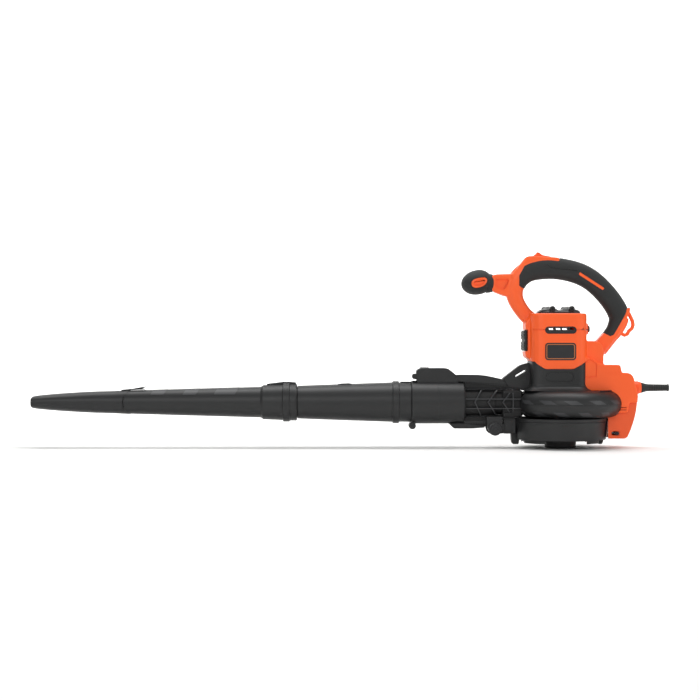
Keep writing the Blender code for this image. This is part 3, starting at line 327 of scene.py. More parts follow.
def finish(name, base, roughness, grain, depth, drift=0.06, spread=0.06, metallic=0.0, **sockets):
    """A moulded or metal finish: fine grain in mm and its depth in mm, slow colour drift, uneven gloss.

    Colour drifts over hand-sized areas as resin and handling do, and the grain also breaks up the gloss.
    """
    made = bpy.data.materials.new(name)
    made.use_nodes = True
    tree = made.node_tree
    shader = tree.nodes["Principled BSDF"]
    place = add(tree, "TexCoord").outputs["Object"]
    fine = add(tree, "TexNoise", {"Vector": place, "Scale": per_mm(grain), "Detail": 4.0,
        "Roughness": 0.55})
    broad = add(tree, "TexNoise", {"Vector": place, "Scale": per_mm(HAND_SIZE), "Detail": 3.0})
    shade = add(tree, "MapRange", {"Value": broad.outputs["Fac"], "From Min": 0.3, "From Max": 0.7})
    shade.inputs["To Min"].default_value = 1 - drift
    shade.inputs["To Max"].default_value = 1 + drift
    tint = add(tree, "HueSaturation", {"Color": colour(base), "Value": shade.outputs["Result"]})
    tree.links.new(tint.outputs["Color"], shader.inputs["Base Color"])
    gloss = add(tree, "MapRange", {"Value": fine.outputs["Fac"], "From Min": 0.25, "From Max": 0.75})
    gloss.inputs["To Min"].default_value = roughness - spread
    gloss.inputs["To Max"].default_value = roughness + spread
    tree.links.new(gloss.outputs["Result"], shader.inputs["Roughness"])
    bump = add(tree, "Bump", {"Height": fine.outputs["Fac"], "Strength": 1.0, "Distance": depth * MM})
    tree.links.new(bump.outputs["Normal"], shader.inputs["Normal"])
    shader.inputs["Metallic"].default_value = metallic
    for socket, value in sockets.items():
        shader.inputs[socket.replace("_", " ")].default_value = value
    return made


def banded(made, axis, pitch, depth, colour_share=0.0):
    """Adds fine parallel lines along an axis to a finish: wire turns, lamination edges or turning marks."""
    tree = made.node_tree
    shader = tree.nodes["Principled BSDF"]
    place = add(tree, "TexCoord").outputs["Object"]
    waves = add(
        tree,
        "TexWave",
        {"Vector": place, "Scale": per_mm(pitch) / 20, "Distortion": 0.4, "Detail": 1.0},
        bands_direction=axis,
    )
    old = shader.inputs["Normal"].links[0].from_socket
    bump = add(tree, "Bump", {"Height": waves.outputs["Fac"], "Distance": depth * MM, "Normal": old})
    tree.links.new(bump.outputs["Normal"], shader.inputs["Normal"])
    if colour_share:
        tint = shader.inputs["Base Color"].links[0].from_node
        darker = add(tree, "MapRange", {"Value": waves.outputs["Fac"]})
        darker.inputs["To Min"].default_value = 1 - colour_share
        tree.links.new(darker.outputs["Result"], tint.inputs["Saturation"])
    return made


# Moulded ABS, fine spark-eroded texture: an even satin orange with soft highlights.
orange_abs = finish("moulded_orange_abs", "#F95C14", 0.44, 1.6, 0.035, 0.03, 0.05, IOR=1.53)
# The same resin on the set-back cover, a little duller, with its orange painted darker as painted shade under
# the shell above.
orange_abs_painted_shade = finish("moulded_orange_abs_painted_shade", "#E85418", 0.52, 1.6, 0.04, 0.08, 0.06, IOR=1.53)
# Glass-filled polypropylene, satin: near black with broad soft highlights along round forms.
black_polypropylene = finish("moulded_black_polypropylene", "#151617", 0.45, 1.8, 0.035, 0.10, 0.05,
    IOR=1.49)
# The same moulding left with a coarser texture, for the neck and the parts low on the fan.
black_textured = finish("textured_black_polypropylene", "#18191A", 0.50, 2.2, 0.07, 0.12, 0.06, IOR=1.49)
# Thin ribs, a little glossier than the walls between them, with a greyer colour that is a painted highlight on
# their lit edges.
black_ribs_painted_highlight = finish("ribbed_black_polypropylene_painted_highlight", "#2E2F31", 0.36, 1.4, 0.02, 0.08, 0.04, IOR=1.49)
# Deep places: the inside of ducts and vents and the webs in the neck's corners; a rougher finish whose
# near-black colour is painted shade.
black_painted_shade = finish("black_polypropylene_painted_shade", "#0C0C0D", 0.68, 3.0, 0.08, 0.12, 0.05, IOR=1.49)
# Polished patches in the mould, with a finer texture and so sharper reflections than the surface round them;
# their lighter grey colour is a painted highlight.
black_polished_painted_highlight = finish("polished_black_polypropylene_painted_highlight", "#333436", 0.44, 1.2, 0.006, 0.05, 0.012, IOR=1.52)
# Soft thermoplastic rubber moulded over the handle: matt, slightly mottled, almost no highlight.
soft_grip = finish("soft_touch_rubber", "#1C1E1E", 0.72, 1.7, 0.09, 0.10, 0.05, IOR=1.50)
soft_grip.node_tree.nodes["Principled BSDF"].inputs["Sheen Weight"].default_value = 0.12
# Gloss ABS on the top pad and the vents.
black_gloss = finish("gloss_black_abs", "#17181A", 0.36, 2.6, 0.015, 0.08, 0.04, IOR=1.53)
# Copper-coloured foil print round the blank badge.
copper_foil = finish("copper_foil_print", "#C77A4E", 0.34, 1.4, 0.012, 0.08, 0.05, metallic=0.75)
# Zinc-plated steel on screws, the spring, the nut and the brush holders: bright and slightly uneven.
plated_steel = finish("zinc_plated_steel", "#B8BABD", 0.30, 1.2, 0.01, 0.07, 0.06, metallic=1.0)
# Ground steel on the shaft and the bearings: bright, with fine rings left by the wheel.
ground_steel = banded(finish("ground_steel", "#C2C3C5", 0.24, 1.0, 0.006, 0.05, 0.05, metallic=1.0), "Z",
    0.8, 0.01)
# Stacked electrical steel: the edges of the sheets show as fine level lines.
laminated_steel = banded(finish("laminated_steel", "#8C8D90", 0.42, 1.4, 0.02, 0.1, 0.06, metallic=1.0),
    "Z", 1.0, 0.05)
# Enamelled copper wire wound in turns.
enamelled_wire = banded(finish("enamelled_copper_wire", "#A8542B", 0.30, 1.2, 0.02, 0.12, 0.06,
    metallic=0.85), "Z", 1.1, 0.2, 0.3)
# Copper turned in a lathe on the commutator: warm and bright, with fine turning marks.
bare_copper = banded(finish("turned_copper", "#C98460", 0.26, 1.0, 0.01, 0.08, 0.05, metallic=1.0), "Z",
    0.9, 0.02)
# Pressed carbon brushes: matt dark grey with a dusty, uneven gloss.
carbon_block = finish("pressed_carbon", "#1B1B1C", 0.62, 0.9, 0.05, 0.15, 0.08)


# ---- blow tubes, collar and nozzle ------------------------------------------------------------------

TUBE_Z = middle_of("rear_tube")[1]
TUBE = (0, 0, TUBE_Z)
SOCKET_FRONT, SOCKET_BACK = (corner.x for corner in cad("tube_socket"))
# How many flats a large round form is turned with, so that none shows in its outline
TUBE_SIDES = 128
DRUM_SIDES = 144


def tube_patches(x_places, half_length, slant, radius_at, low_z, high_z):
    """Polished slanted patches over the top of a tube, proud of it by a fraction of a millimetre, for a
    painted highlight.
    """
    start, end = min(x_places) - 2 * half_length, max(x_places) + 2 * half_length
    skin = turned([(start, 0), (start, radius_at(start)), (end, radius_at(end)), (end, 0)], TUBE)
    tools = []
    for x in x_places:
        points = [(x - half_length - slant, low_z), (x + half_length - slant, low_z)]
        points += [(x + half_length + slant, high_z), (x - half_length + slant, high_z)]
        tools.append(pushed(points, -60, 60, 1.5))
    return worked(skin, "INTERSECT", merged(*tools))


def make_rear_tube():
    """The tapered rear tube: spigot, cuff and locking bead at the back, plug at the front."""
    spigot_end = SOCKET_FRONT + 46.5
    outer = [(spigot_end, 36.9, 0.6), (SOCKET_FRONT - 0.4, 36.9), (SOCKET_FRONT - 1.2, 37.6, 0.5)]
    outer += [(-306.0, 37.4), (-306.6, 40.1, 1.0), (-318.2, 40.1, 1.0), (-318.9, 37.7)]
    outer += [(-330, 37.2), (-420, 34.2), (-497.4, 31.3, 0.5), (-498.2, 29.9), (-549.6, 29.9, 0.8)]
    inner = [(-549.6, 27.7, 0.8), (-498, 28.1), (-420, 31.9), (-318, 35.2), (spigot_end, 34.6, 0.6)]
    tube = turned(outer + inner, TUBE, sides=TUBE_SIDES)
    piece("rear_blow_tube", tube, black_polypropylene, "blow_tubes", replaces=["rear_tube"])
    strip = pushed([(-303.5, TUBE_Z + 36), (-279.0, TUBE_Z + 36), (-279.0, 124.9, 0.8),
        (-303.5, 124.9, 0.8)], -7, 7, 0.0, 0.5)
    piece("rear_tube_rib", strip, black_textured, "blow_tubes")
    plate = pushed([(-421.5, 117.0), (-395.5, 118.0), (-395.5, 121.3), (-421.5, 120.4)], -9.0, 9.0, 0.8,
        0.4)
    frame_bar = pushed([(-417.5, 118.0), (-399.5, 118.6), (-399.5, 121.9), (-417.5, 121.2)], -5.5, 5.5, 0.6,
        0.3)
    # The pad's lighter grey is a painted highlight along the top of the tube.
    piece("rear_tube_pad", plate, black_polished_painted_highlight, "blow_tubes")
    piece("rear_tube_pad_centre", frame_bar, black_textured, "blow_tubes")


def front_radius(x):
    """The front tube's radius, just proud of its skin."""
    share = (-567 - x) / (826 - 567)
    return 29.3 + (22.0 - 29.3) * share + 0.35


def make_front_tube():
    """The front tube with its stepped collar, its long polished patches with a painted highlight, and the neck
    for the nozzle.
    """
    outer = [(-499.6, 34.4, 0.6), (-501.5, 35.1), (-512.6, 35.1), (-513.4, 37.1, 0.8), (-525.4, 37.1, 0.8)]
    outer += [(-526.3, 34.3), (-563.6, 32.6, 1.2), (-566.6, 30.2), (-569, 29.2), (-690, 25.9),
        (-826.0, 22.0, 0.4)]
    outer += [(-826.6, 19.4), (-860.9, 19.3, 0.6)]
    inner = [(-860.9, 17.3, 0.6), (-826, 17.4), (-569, 27.0), (-551.6, 27.1), (-551.2, 30.2),
        (-499.6, 30.2, 0.6)]
    tube = turned(outer + inner, TUBE, sides=TUBE_SIDES)
    piece("front_blow_tube", tube, black_polypropylene, "blow_tubes", replaces=["front_tube"])
    rib = pushed([(-556.5, 117), (-501.5, 118.0), (-501.5, 123.4, 1.0), (-513, 124.4, 0.8),
        (-526, 124.4, 1), (-556.5, 120.8, 1.0)], -6, 6, 0.0, 0.5)
    piece("collar_rib", rib, black_textured, "blow_tubes")
    marks = tube_patches([-759, -698], 12.5, 4.5, front_radius, 100.2, 116)
    piece("tube_highlight_patches_front", marks, black_polished_painted_highlight, "blow_tubes", even=False)
    marks = tube_patches([-631.5], 20, 4.5, front_radius, 100.8, 118)
    piece("tube_highlight_patches_rear", marks, black_polished_painted_highlight, "blow_tubes", even=False)


def nozzle_rings(places, inset):
    """Sections of the nozzle from round at the back to a flat oval tip."""
    sections = []
    for x, half_height, half_width, squareness in places:
        matrix = Matrix.Translation((x, 0, TUBE_Z)) @ Matrix.Rotation(TAU / 4, 4, "Y")
        sections.append((matrix @ Matrix.Diagonal((half_height - inset, half_width - inset, 1, 1)),
            squareness))
    return sections


def make_nozzle():
    """The flat-tipped nozzle: a full-bellied loft with a scalloped rear edge and a locking tongue."""
    low = cad("nozzle")[0]
    places = [(-815.0, 22.9, 22.9, 1.0), (-826.6, 22.4, 22.4, 1.0), (-850, 21.2, 22.1, 0.98)]
    places += [(-880, 20.5, 22.4, 0.95), (-912, 19.0, 23.4, 0.9), (-945, 16.9, 25.2, 0.84)]
    places += [(-972, 14.7, 27.0, 0.78), (-990, 12.8, 28.2, 0.74), (low.x + 5.2, 11.4, 28.7, 0.72)]
    places += [(low.x + 3.2, 10.2, 27.6, 0.72)]
    outside = lofted(nozzle_rings(places, 0), 72)
    inside = [(-810.0, 22.9, 22.9, 1.0), (-826.6, 22.9, 22.9, 1.0),
        (-827.4, 21.8, 21.8, 1.0)] + places[2:-1]
    inside += [(low.x - 2, 10.4, 28.4, 0.72)]
    bore = lofted(nozzle_rings(inside, 1.9), 72)
    shell = worked(outside, "DIFFERENCE", bore)
    scallop = [(-828.5, TUBE_Z), (-827, TUBE_Z + 9), (-822.5, TUBE_Z + 16.5), (-816, TUBE_Z + 21),
        (-814, TUBE_Z + 30)]
    scallop += [(-800, TUBE_Z + 30), (-800, TUBE_Z - 30), (-814, TUBE_Z - 30), (-816, TUBE_Z - 21)]
    scallop += [(-822.5, TUBE_Z - 16.5), (-827, TUBE_Z - 9)]
    shell = worked(shell, "DIFFERENCE", pushed(scallop, -60, 60))
    piece("blower_nozzle", shell, black_polypropylene, "nozzle", replaces=["nozzle"])
    tongue = [(-832, TUBE_Z + 20.5), (-832, TUBE_Z + 23.6, 1), (-812, TUBE_Z + 25.4, 3),
        (-800, TUBE_Z + 27.6, 2)]
    tongue += [(-786.5, TUBE_Z + 29.8, 0.5), (-785.2, TUBE_Z + 28.4, 0.4), (-794, TUBE_Z + 25.9, 0.6)]
    tongue += [(-786.0, TUBE_Z + 24.7, 0.4), (-788, TUBE_Z + 23.9, 0.3), (-812, TUBE_Z + 22.9)]
    piece("nozzle_tongue", pushed(tongue, -6.5, 6.5, 0, 0.6), black_polypropylene, "nozzle")


# ---- socket, latch and outlet neck ------------------------------------------------------------------


def make_socket():
    """The sleeve that takes the rear tube, with the flat foot that runs back under the neck."""
    outer = [(SOCKET_BACK - 0.4, 26.8, 0), (SOCKET_BACK - 0.4, 40.6, 1.2), (SOCKET_FRONT + 0.2, 40.9, 1.2)]
    inner = [(SOCKET_FRONT + 0.2, 37.6, 0.6), (SOCKET_BACK - 4.4, 37.6), (SOCKET_BACK - 4.4, 26.8, 0)]
    sleeve = turned(outer + inner, TUBE, sides=TUBE_SIDES)
    piece("tube_sleeve", sleeve, black_polypropylene, replaces=["tube_socket"])
    foot = [(-214, 46.2), (-210.0, 43.6, 2), (-202.5, 36.2, 2), (-168, 36.2, 3), (-144.5, 37.9, 1),
        (-144.5, 41.5), (-182, 46.2)]
    piece("sleeve_foot", pushed(foot, -13, 13, 0, 1.0), black_polypropylene)
    lug = (SOCKET_FRONT + 1.6, 41.8)
    piece("lower_lug", rod(6.7, -16.5, 16.5, lug, "Y", 0.8), black_polypropylene)
    piece("lower_lug_pin", rod(2.2, -17.4, 17.4, lug, "Y", 0.4), black_textured)
    parting = turned([(-233.2, 40.4), (-233.2, 41.0, 0.2), (-232.2, 41.0, 0.2), (-232.2, 40.4)], TUBE,
        sides=TUBE_SIDES)
    piece("sleeve_ring_line", parting, black_textured)


def make_latch():
    """The latch's sloped hood over the sleeve, its press button and the round lugs at its front."""
    hood = [(-272.8, 119.6), (-194.2, 119.6), (-194.2, 129.8, 2), (-199.0, 138.2, 4), (-208.0, 145.5, 6)]
    hood += [(-215.5, 150.8, 7), (-268.5, 150.8, 6), (-273.8, 145.5, 3)]
    shape = pushed(hood, -16.6, 16.6, 0, 3.6, steps=4)
    shape = worked(shape, "DIFFERENCE", turned([(-290, 0), (-290, 41.2), (-180, 41.2), (-180, 0)], TUBE,
        sides=TUBE_SIDES))
    front, back, half_width, gap = -266.4, -249.5, 8.4, 0.5
    window = block((front - gap, -half_width - gap, 128), (back + gap, half_width + gap, 170))
    shape = worked(shape, "DIFFERENCE", window)
    piece("latch_hood", shape, black_polypropylene, replaces=["latch_housing"])
    line = rectangle(-272.6, -194.4, 122.2, 123.9)
    piece("latch_skirt_line", pushed(line, -16.9, 16.9, 0, 0.3), black_painted_shade)
    button = block((front, -half_width, 144.0), (back, half_width, 152.2), 1.4)
    grooves = [rod(0.8, -9, 9, (x, 152.6), "Y") for x in (-262.2, -258.0, -253.8)]
    spring_well = rod(6.2, 140.0, 148.2, ((front + back) / 2, 0), "Z")
    button = worked(button, "DIFFERENCE", merged(*grooves), spring_well)
    piece("release_button_cap", button, black_gloss, "release_button", replaces=["release_button"])
    lug = (-276.2, 134.7)
    piece("upper_lug", rod(5.4, -16.4, 16.4, lug, "Y", 0.8), black_polypropylene)
    piece("upper_lug_pin", rod(1.9, -17.2, 17.2, lug, "Y", 0.3), black_textured)


def neck_lattice():
    """Lengthwise and chevron ribs that stand round the neck."""
    ring = [(SOCKET_BACK - 0.2, 25.8), (SOCKET_BACK - 0.2, 30.6), (-77.0, 30.6), (-77.0, 25.8)]
    shell = turned(ring, TUBE)
    bars = []
    for z in (111.2, 92.5, 74.7, 59.6):
        bars.append(pushed(rectangle(-184, -74, z - 0.9, z + 0.9), -40, 40))
    for tip, back in ((-165.5, 13), (-140.6, 17.5), (-112.6, 17.5)):
        points = [(tip + back, 109.5), (tip, 86.5), (tip + back + 1, 58.5), (tip + back + 3, 58.5)]
        points += [(tip + 2.3, 86.5), (tip + back + 2.2, 109.5)]
        bars.append(pushed(points, -40, 40))
    bars.append(pushed(rectangle(-93.5, -91.5, 57, 114), -40, 40))
    parts = [worked(copied(shell), "INTERSECT", bar) for bar in bars]
    shell.free()
    return worked(parts[0], "UNION", *parts[1:])


def make_neck():
    """The ribbed outlet neck between the sleeve and the fan housing."""
    front = SOCKET_BACK - 0.2
    # The core, the mouth and the flange are near-black as painted shade deep in the neck.
    core = turned(
        [(front, 26.2), (-128.0, 26.2, 1), (-123.0, 23.4, 1), (-90.0, 23.4), (-90.0, 20.8),
            (front, 20.8)], TUBE
    )
    piece("neck_core", core, black_painted_shade, replaces=["outlet_duct"])
    # The ribs' greyer colour is a painted highlight on their lit edges.
    piece("neck_ribs", neck_lattice(), black_ribs_painted_highlight)
    mouth = block((-112.0, -24.5, 57.6), (-74.0, 24.5, 109.0), 4, 4)
    bore = turned([(-120, 0), (-120, 21.4), (-60, 21.4), (-60, 0)], TUBE, sides=64)
    hollow = block((-112.6, -21.5, 66.0), (-92.0, 21.5, 101.5), 3)
    mouth = worked(mouth, "DIFFERENCE", bore, hollow)
    slots = []
    for z in (70.0, 80.0, 90.0, 99.0):
        for y in (-27, 27):
            slots.append(block((-108.5, y - 4.2, z - 3.4), (-94.0, y + 4.2, z + 3.4), 1.0))
    mouth = worked(mouth, "DIFFERENCE", merged(*slots))
    piece("neck_mouth", mouth, black_painted_shade)
    flange = turned([(front, 27.0), (front, 33.5, 0.6), (front + 2.2, 33.5, 0.6), (front + 2.2, 27.0)],
        TUBE)
    piece("neck_flange", flange, black_painted_shade)


def toothed(start, end, low_z, low_end_z, height, pitch):
    """The side view of a strip with a row of small teeth along its lower edge."""
    count = int(abs(end - start) / pitch)
    lower = []
    for i in range(count):
        x = start + (end - start) * i / count
        z = low_z + (low_end_z - low_z) * i / count
        step = (end - start) / count
        lower += [(x, z), (x + 0.25 * step, z - height), (x + 0.6 * step, z - height), (x + 0.7 * step, z)]
    return lower + [(end, low_end_z), (end, low_end_z + 4), (start, low_z + 4)]


def make_neck_cover():
    """The arched cover over the neck, the toothed strip under it, and the strap bracket."""
    cover = [(-198.0, 125.6), (-198.0, 137.9, 1), (-162.6, 138.3, 20), (-140.8, 136.2, 20),
        (-124.4, 132.8, 20)]
    cover += [(-111.2, 129.8, 1), (-104.0, 120.5), (-140, 122.2)]
    piece("neck_cover_arch", pushed(cover, -17.6, 17.6, 0, 2.6, steps=4), black_polypropylene,
        replaces=["neck_cover"])
    teeth = toothed(-182.6, -104.0, 124.6, 117.2, 2.4, 4.4)
    piece("neck_teeth", pushed(teeth, -14.8, 14.8), black_textured)
    under = toothed(-182.6, -132.0, 49.6, 50.6, 2.0, 4.4)
    piece("lower_teeth", pushed([(x, z - 3) for x, z in under], -12.4, 12.4), black_textured)
    # The webs and fillers in the neck's corners are near-black as painted shade.
    web = [(-183.0, 108.0), (-183.0, 124.6), (-104.5, 117.6), (-84.0, 112.0), (-84.0, 104.0),
        (-104.5, 104.0)]
    piece("neck_upper_web", pushed(web, -13.2, 13.2, 0, 0.4), black_painted_shade)
    keel = [(-183.0, 40.0), (-183.0, 62.0), (-108.0, 62.0), (-108.0, 57.2), (-140.5, 57.2), (-140.5, 40.0)]
    piece("neck_lower_web", pushed(keel, -11.6, 11.6, 0, 0.4), black_painted_shade)
    piece("neck_upper_filler", block((-106, -11, 113), (-88, 11, 121), 1.0), black_painted_shade)
    piece("neck_lower_filler", block((-113.0, -20, 53.9), (-88, 20, 59.0), 0.6), black_painted_shade)
    bracket = [(-56.8, 109.0), (-56.8, 161.5, 0.5), (-73.2, 157.8, 4), (-80.8, 153.8, 3),
        (-109.9, 131.2, 1)]
    bracket += [(-108.1, 126.9, 1), (-99.6, 115.9, 1), (-94.0, 111.0), (-88.5, 109.0)]
    shape = pushed(bracket, -11.7, 11.7, 0, 1.2)
    slot = [(-86.2, 132.4, 1.2), (-86.2, 136.4, 1.6), (-66.3, 148.6, 1.2), (-66.3, 144.2, 1.2)]
    recess = [(-80.0, 128.0, 1.5), (-63.0, 128.0, 1.5), (-63.0, 137.0, 3), (-71.0, 138.6, 4),
        (-78.0, 134.0, 3)]
    tools = [pushed(slot, -20, 20), pushed(recess, -20, -9.7), pushed(recess, 9.7, 20)]
    piece("strap_bracket_web", worked(shape, "DIFFERENCE", *tools), black_polypropylene,
        replaces=["strap_bracket"])


# ---- fan housing, motor base and intake guard ---------------------------------------------------------

FAN_LOW, FAN_HIGH = cad("fan_housing_lower")[0], cad("fan_housing_upper")[1]
FAN_X = (FAN_LOW.x + FAN_HIGH.x) / 2
FAN_RADIUS = (FAN_HIGH.x - FAN_LOW.x) / 2
FAN_CENTRE = (FAN_X, 0, 0)
FAN_BOTTOM, FAN_TOP = 58.3, 108.5
# The gap that the rear body keeps round the fan housing
FAN_CLEARANCE = 0.5
FAN_HIGHLIGHT_PATCHES = 13
GRILLE_SLOTS = 36
HINGE = middle_of("hinge_pin")


def ring_profile(inset):
    """The fan housing's section as (height, radius), its outer side a half circle."""
    low, high = FAN_BOTTOM + inset, FAN_TOP - inset
    bend = (high - low) / 2 - 0.05
    reach = FAN_RADIUS - 0.2 - inset
    return [(low, 0, 0), (low, reach, bend), (high, reach, bend), (high, 0, 0)]


def fan_form(inset):
    """The fan housing's whole outer form, drawn in by inset, or let out where that is negative."""
    return turned(ring_profile(inset), FAN_CENTRE, "Z", sides=DRUM_SIDES, steps=14)


def make_fan_housing():
    """The flat spiral housing in two shells with a fine seam, and its polished patches with a painted
    highlight.
    """
    body = fan_form(0)
    space = turned(ring_profile(3.0), FAN_CENTRE, "Z", steps=10)
    eye = rod(60, 50, 66, (0, 0), "Z", sides=96)
    seam = rectangle(83.1, 83.7, FAN_RADIUS - 1.0, 120)
    seam = turned(seam, FAN_CENTRE, "Z", sides=DRUM_SIDES)
    port = block((-125, -28.5, 62.5), (-70, 28.5, 104.5), 2)
    housing = worked(body, "DIFFERENCE", space, eye, seam, port)
    replaced = ["fan_housing_upper", "fan_housing_lower"]
    piece("fan_shell", housing, black_polypropylene, replaces=replaced, even=False)
    for name, low, high, slant, length, first in (
        ("fan_highlight_patches_upper", 83.9, 91.4, 7, 12, -3.4),
        ("fan_highlight_patches_lower", 61.5, 69.5, 6, 10, 11.0),
    ):
        mark = [(-length - slant, high), (length - slant, high)]
        mark += [(length + slant, low), (-length + slant, low)]
        cutter = pushed(mark, -115, -60, 1.2)
        turns = [first + number * 360 / FAN_HIGHLIGHT_PATCHES for number in range(FAN_HIGHLIGHT_PATCHES)]
        tools = []
        for turn in turns:
            if not 140 < turn % 360 < 220:
                spot = Matrix.Translation(FAN_CENTRE) @ Matrix.Rotation(math.radians(turn), 4, "Z")
                tools.append(copied(cutter, spot))
        cutter.free()
        marks = worked(fan_form(-0.18), "INTERSECT", merged(*tools))
        marks = worked(marks, "DIFFERENCE", fan_form(0.25))
        # The patches' lighter grey is a painted highlight.
        piece(name, marks, black_polished_painted_highlight, even=False)
    rib = turned([(108.0, 84.6), (109.6, 84.0, 0.7), (109.6, 82.0, 0.7), (108.0, 81.4)], FAN_CENTRE, "Z",
        sides=TUBE_SIDES)
    gap = pushed(rectangle(-50, 64, 100, 120), -120, 120)
    piece("fan_top_bead", worked(rib, "DIFFERENCE", gap), black_textured)


def plan_ring(z, half_x, half_y, squareness=0.34, middle=-7.2):
    """A level section at a height, for a form that is lofted upwards."""
    return Matrix.Translation((middle, 0, z)) @ Matrix.Diagonal((half_x, half_y, 1, 1)), squareness


def make_motor_base():
    """The black base that flares from the motor housing down onto the fan housing."""
    rings = [plan_ring(163.2, 52.4, 46.6), plan_ring(121, 52.4, 46.6)]
    rings += [plan_ring(116.5, 53.6, 47.8), plan_ring(112.5, 57.4, 51.4, 0.42),
        plan_ring(108.3, 66.0, 60.0, 0.55)]
    base = lofted(rings[::-1], 96)
    outer = rectangle(-34.2, 19.4, 125.2, 143.4, 9)
    inner = rectangle(-32.2, 17.4, 127.2, 141.4, 7.2)
    grooves = []
    for side in (-1, 1):
        low, high = sorted((side * 45.0, side * 60))
        grooves.append(worked(pushed(outer, low, high), "DIFFERENCE", pushed(inner, low - 1, high + 1)))
    rear = block((40.0, -39.0, 109.5), (60, 39.0, 170))
    base = worked(base, "DIFFERENCE", merged(*grooves), rear)
    piece("motor_base_flare", base, black_polypropylene, replaces=["motor_base"])


def make_guard():
    """The hinged intake guard: drum, radial grille, hub foot, feet, fins and the arm to its hinge."""
    profile = [(0.2, 0, 0), (0.2, 29.2, 1.6), (15.4, 30.3, 0), (15.9, 30.6, 0), (15.9, 85.4, 1.8),
        (49.6, 88.1, 0)]
    profile += [(50.0, 87.5, 0), (50.8, 87.5, 0), (51.2, 88.8, 0.3), (56.3, 88.8, 0.5), (56.3, 86.4, 0)]
    profile += [(18.4, 83.2, 0), (18.4, 27.6, 0), (2.8, 27.0, 0), (2.8, 0, 0)]
    drum = turned(profile, (0, 0, 0), "Z", sides=DRUM_SIDES)
    slots = []
    for number in range(GRILLE_SLOTS):
        turn = Matrix.Rotation(TAU * (number + 0.5) / GRILLE_SLOTS, 4, "Z")
        slots.append(copied(block((35, -1.9, 10), (56, 1.9, 24)), turn))
        slots.append(copied(block((59, -2.9, 10), (80, 2.9, 24)), turn))
    drum = worked(drum, "DIFFERENCE", merged(*slots))
    marks = []
    for x, z, length in ((3.8, 45.0, 17), (69.4, 47.9, 9), (-52.0, 46.5, 8)):
        marks.append(pushed(rectangle(x - length, x + length, z - 0.5, z + 0.5), -110, 110))
    skin = turned([(40, 80), (40, 88.2, 0), (52, 88.9, 0), (52, 80)], (0, 0, 0), "Z", sides=DRUM_SIDES)
    ribs = worked(skin, "INTERSECT", merged(*marks))
    piece("guard_drum", drum, black_polypropylene, "intake_guard", replaces=["intake_guard"])
    piece("guard_raised_lines", ribs, black_textured, "intake_guard")
    ring = turned([(9.8, 74.5), (9.8, 77.0, 0.6), (16.4, 77.0), (16.4, 74.5)], (0, 0, 0), "Z")
    spans = [block((-71, -90, 5), (-38, 90, 20)), block((40, -90, 5), (67, 90, 20))]
    fins = worked(ring, "INTERSECT", merged(*spans))
    bars = [block((x, -12, 11.0), (x + 2, 12, 16.6), 0.4) for x in (-70, -62, -54, -46, 46, 54, 62)]
    piece("guard_fins", merged(fins, *bars), black_polypropylene, "intake_guard")
    front = [(-94.4, 27), (-93.6, 14, 2), (-92.2, 8.0, 2), (-89.5, 6.6, 1), (-81.0, 6.6, 1),
        (-79.4, 9.0, 2), (-78.6, 17), (-78.0, 27)]
    rear = [(65.8, 18), (68.0, 13.5, 2), (70.6, 8.0, 2), (72.2, 6.6, 1), (77.6, 6.6, 1), (79.2, 9.0, 1.5),
        (80.6, 14), (82.5, 20)]
    feet = merged(pushed(front, -9.6, 9.6, 0, 1.2), pushed(rear, -7.8, 7.8, 0, 1.2))
    piece("guard_feet", feet, black_polypropylene, "intake_guard")
    arm = block((-109.8, -18.8, 26.8), (-86.0, 18.8, 55.6), 1.6)
    link = [(HINGE[0], 26.2, 0), (-100, 28.0, 0), (-100, 44.5, 0), (-112, 46.2, 2), (HINGE[0], 46.2, 0)]
    knuckle = rod(10.2, -18.7, 18.7, HINGE, "Y", 1.0)
    arm = worked(arm, "UNION", pushed(link, -18.5, 18.5, 0, 0.8), knuckle)
    relief = [block((-107.5, side * 18.9 - 1.2, 30), (-93.0, side * 18.9 + 1.2, 52.5), 1.0) for side in (-1,
        1)]
    arm = worked(arm, "DIFFERENCE", rod(3.7, -40, 40, HINGE), merged(*relief))
    piece("guard_arm", arm, black_polypropylene, "intake_guard")


def make_hinge():
    """Ears under the neck that hold the guard's hinge pin, and the pin's ringed heads."""
    for side in (-1, 1):
        near, far = sorted((side * 19.9, side * 28.4))
        ear = [(-142.0, 57.5), (-141.2, 45.0, 2), (-139.2, 33.0, 6), (-134.0, 25.4, 6), (-126.5, 23.4, 7)]
        ear += [(-119.0, 25.4, 6), (-113.6, 34.0, 4), (-112.6, 57.0), (-112.6, 59.0), (-142.0, 59.0)]
        name = "left" if side < 0 else "right"
        shape = pushed(ear, near, far, 0, 1.0)
        piece(f"hinge_ear_{name}", shape, black_polypropylene)
        start, end = side * 28.7, side * 33.2
        rings = [(start, 0, 0), (start, 12.4, 0.3), (end - side * 1.2, 12.4, 0.6),
            (end - side * 0.6, 10.4, 0)]
        rings += [(end - side * 1.6, 10.0, 0), (end - side * 1.6, 8.2, 0), (end, 7.8, 0.4), (end, 5.0, 0.4)]
        rings += [(end - side * 1.4, 4.6, 0), (end - side * 1.4, 2.4, 0), (end - side * 0.4, 2.2, 0.3),
            (end - side * 0.4, 0, 0)]
        node = "hinge_pin" if side < 0 else "hinge_cap"
        piece(f"hinge_head_{name}", turned(rings, (HINGE[0], 0, HINGE[1]), "Y", sides=64), black_gloss,
            replaces=[node])
    piece("hinge_ear_plate", block((-141.6, -28.2, 56.2), (-112.8, 28.2, 59.6), 0.8), black_polypropylene)
    pin = rod(3.4, -28.6, 28.6, HINGE, "Y", 0.4)
    piece("hinge_pin_shaft", pin, black_textured)


# ---- orange housing, handle and grip ------------------------------------------------------------------

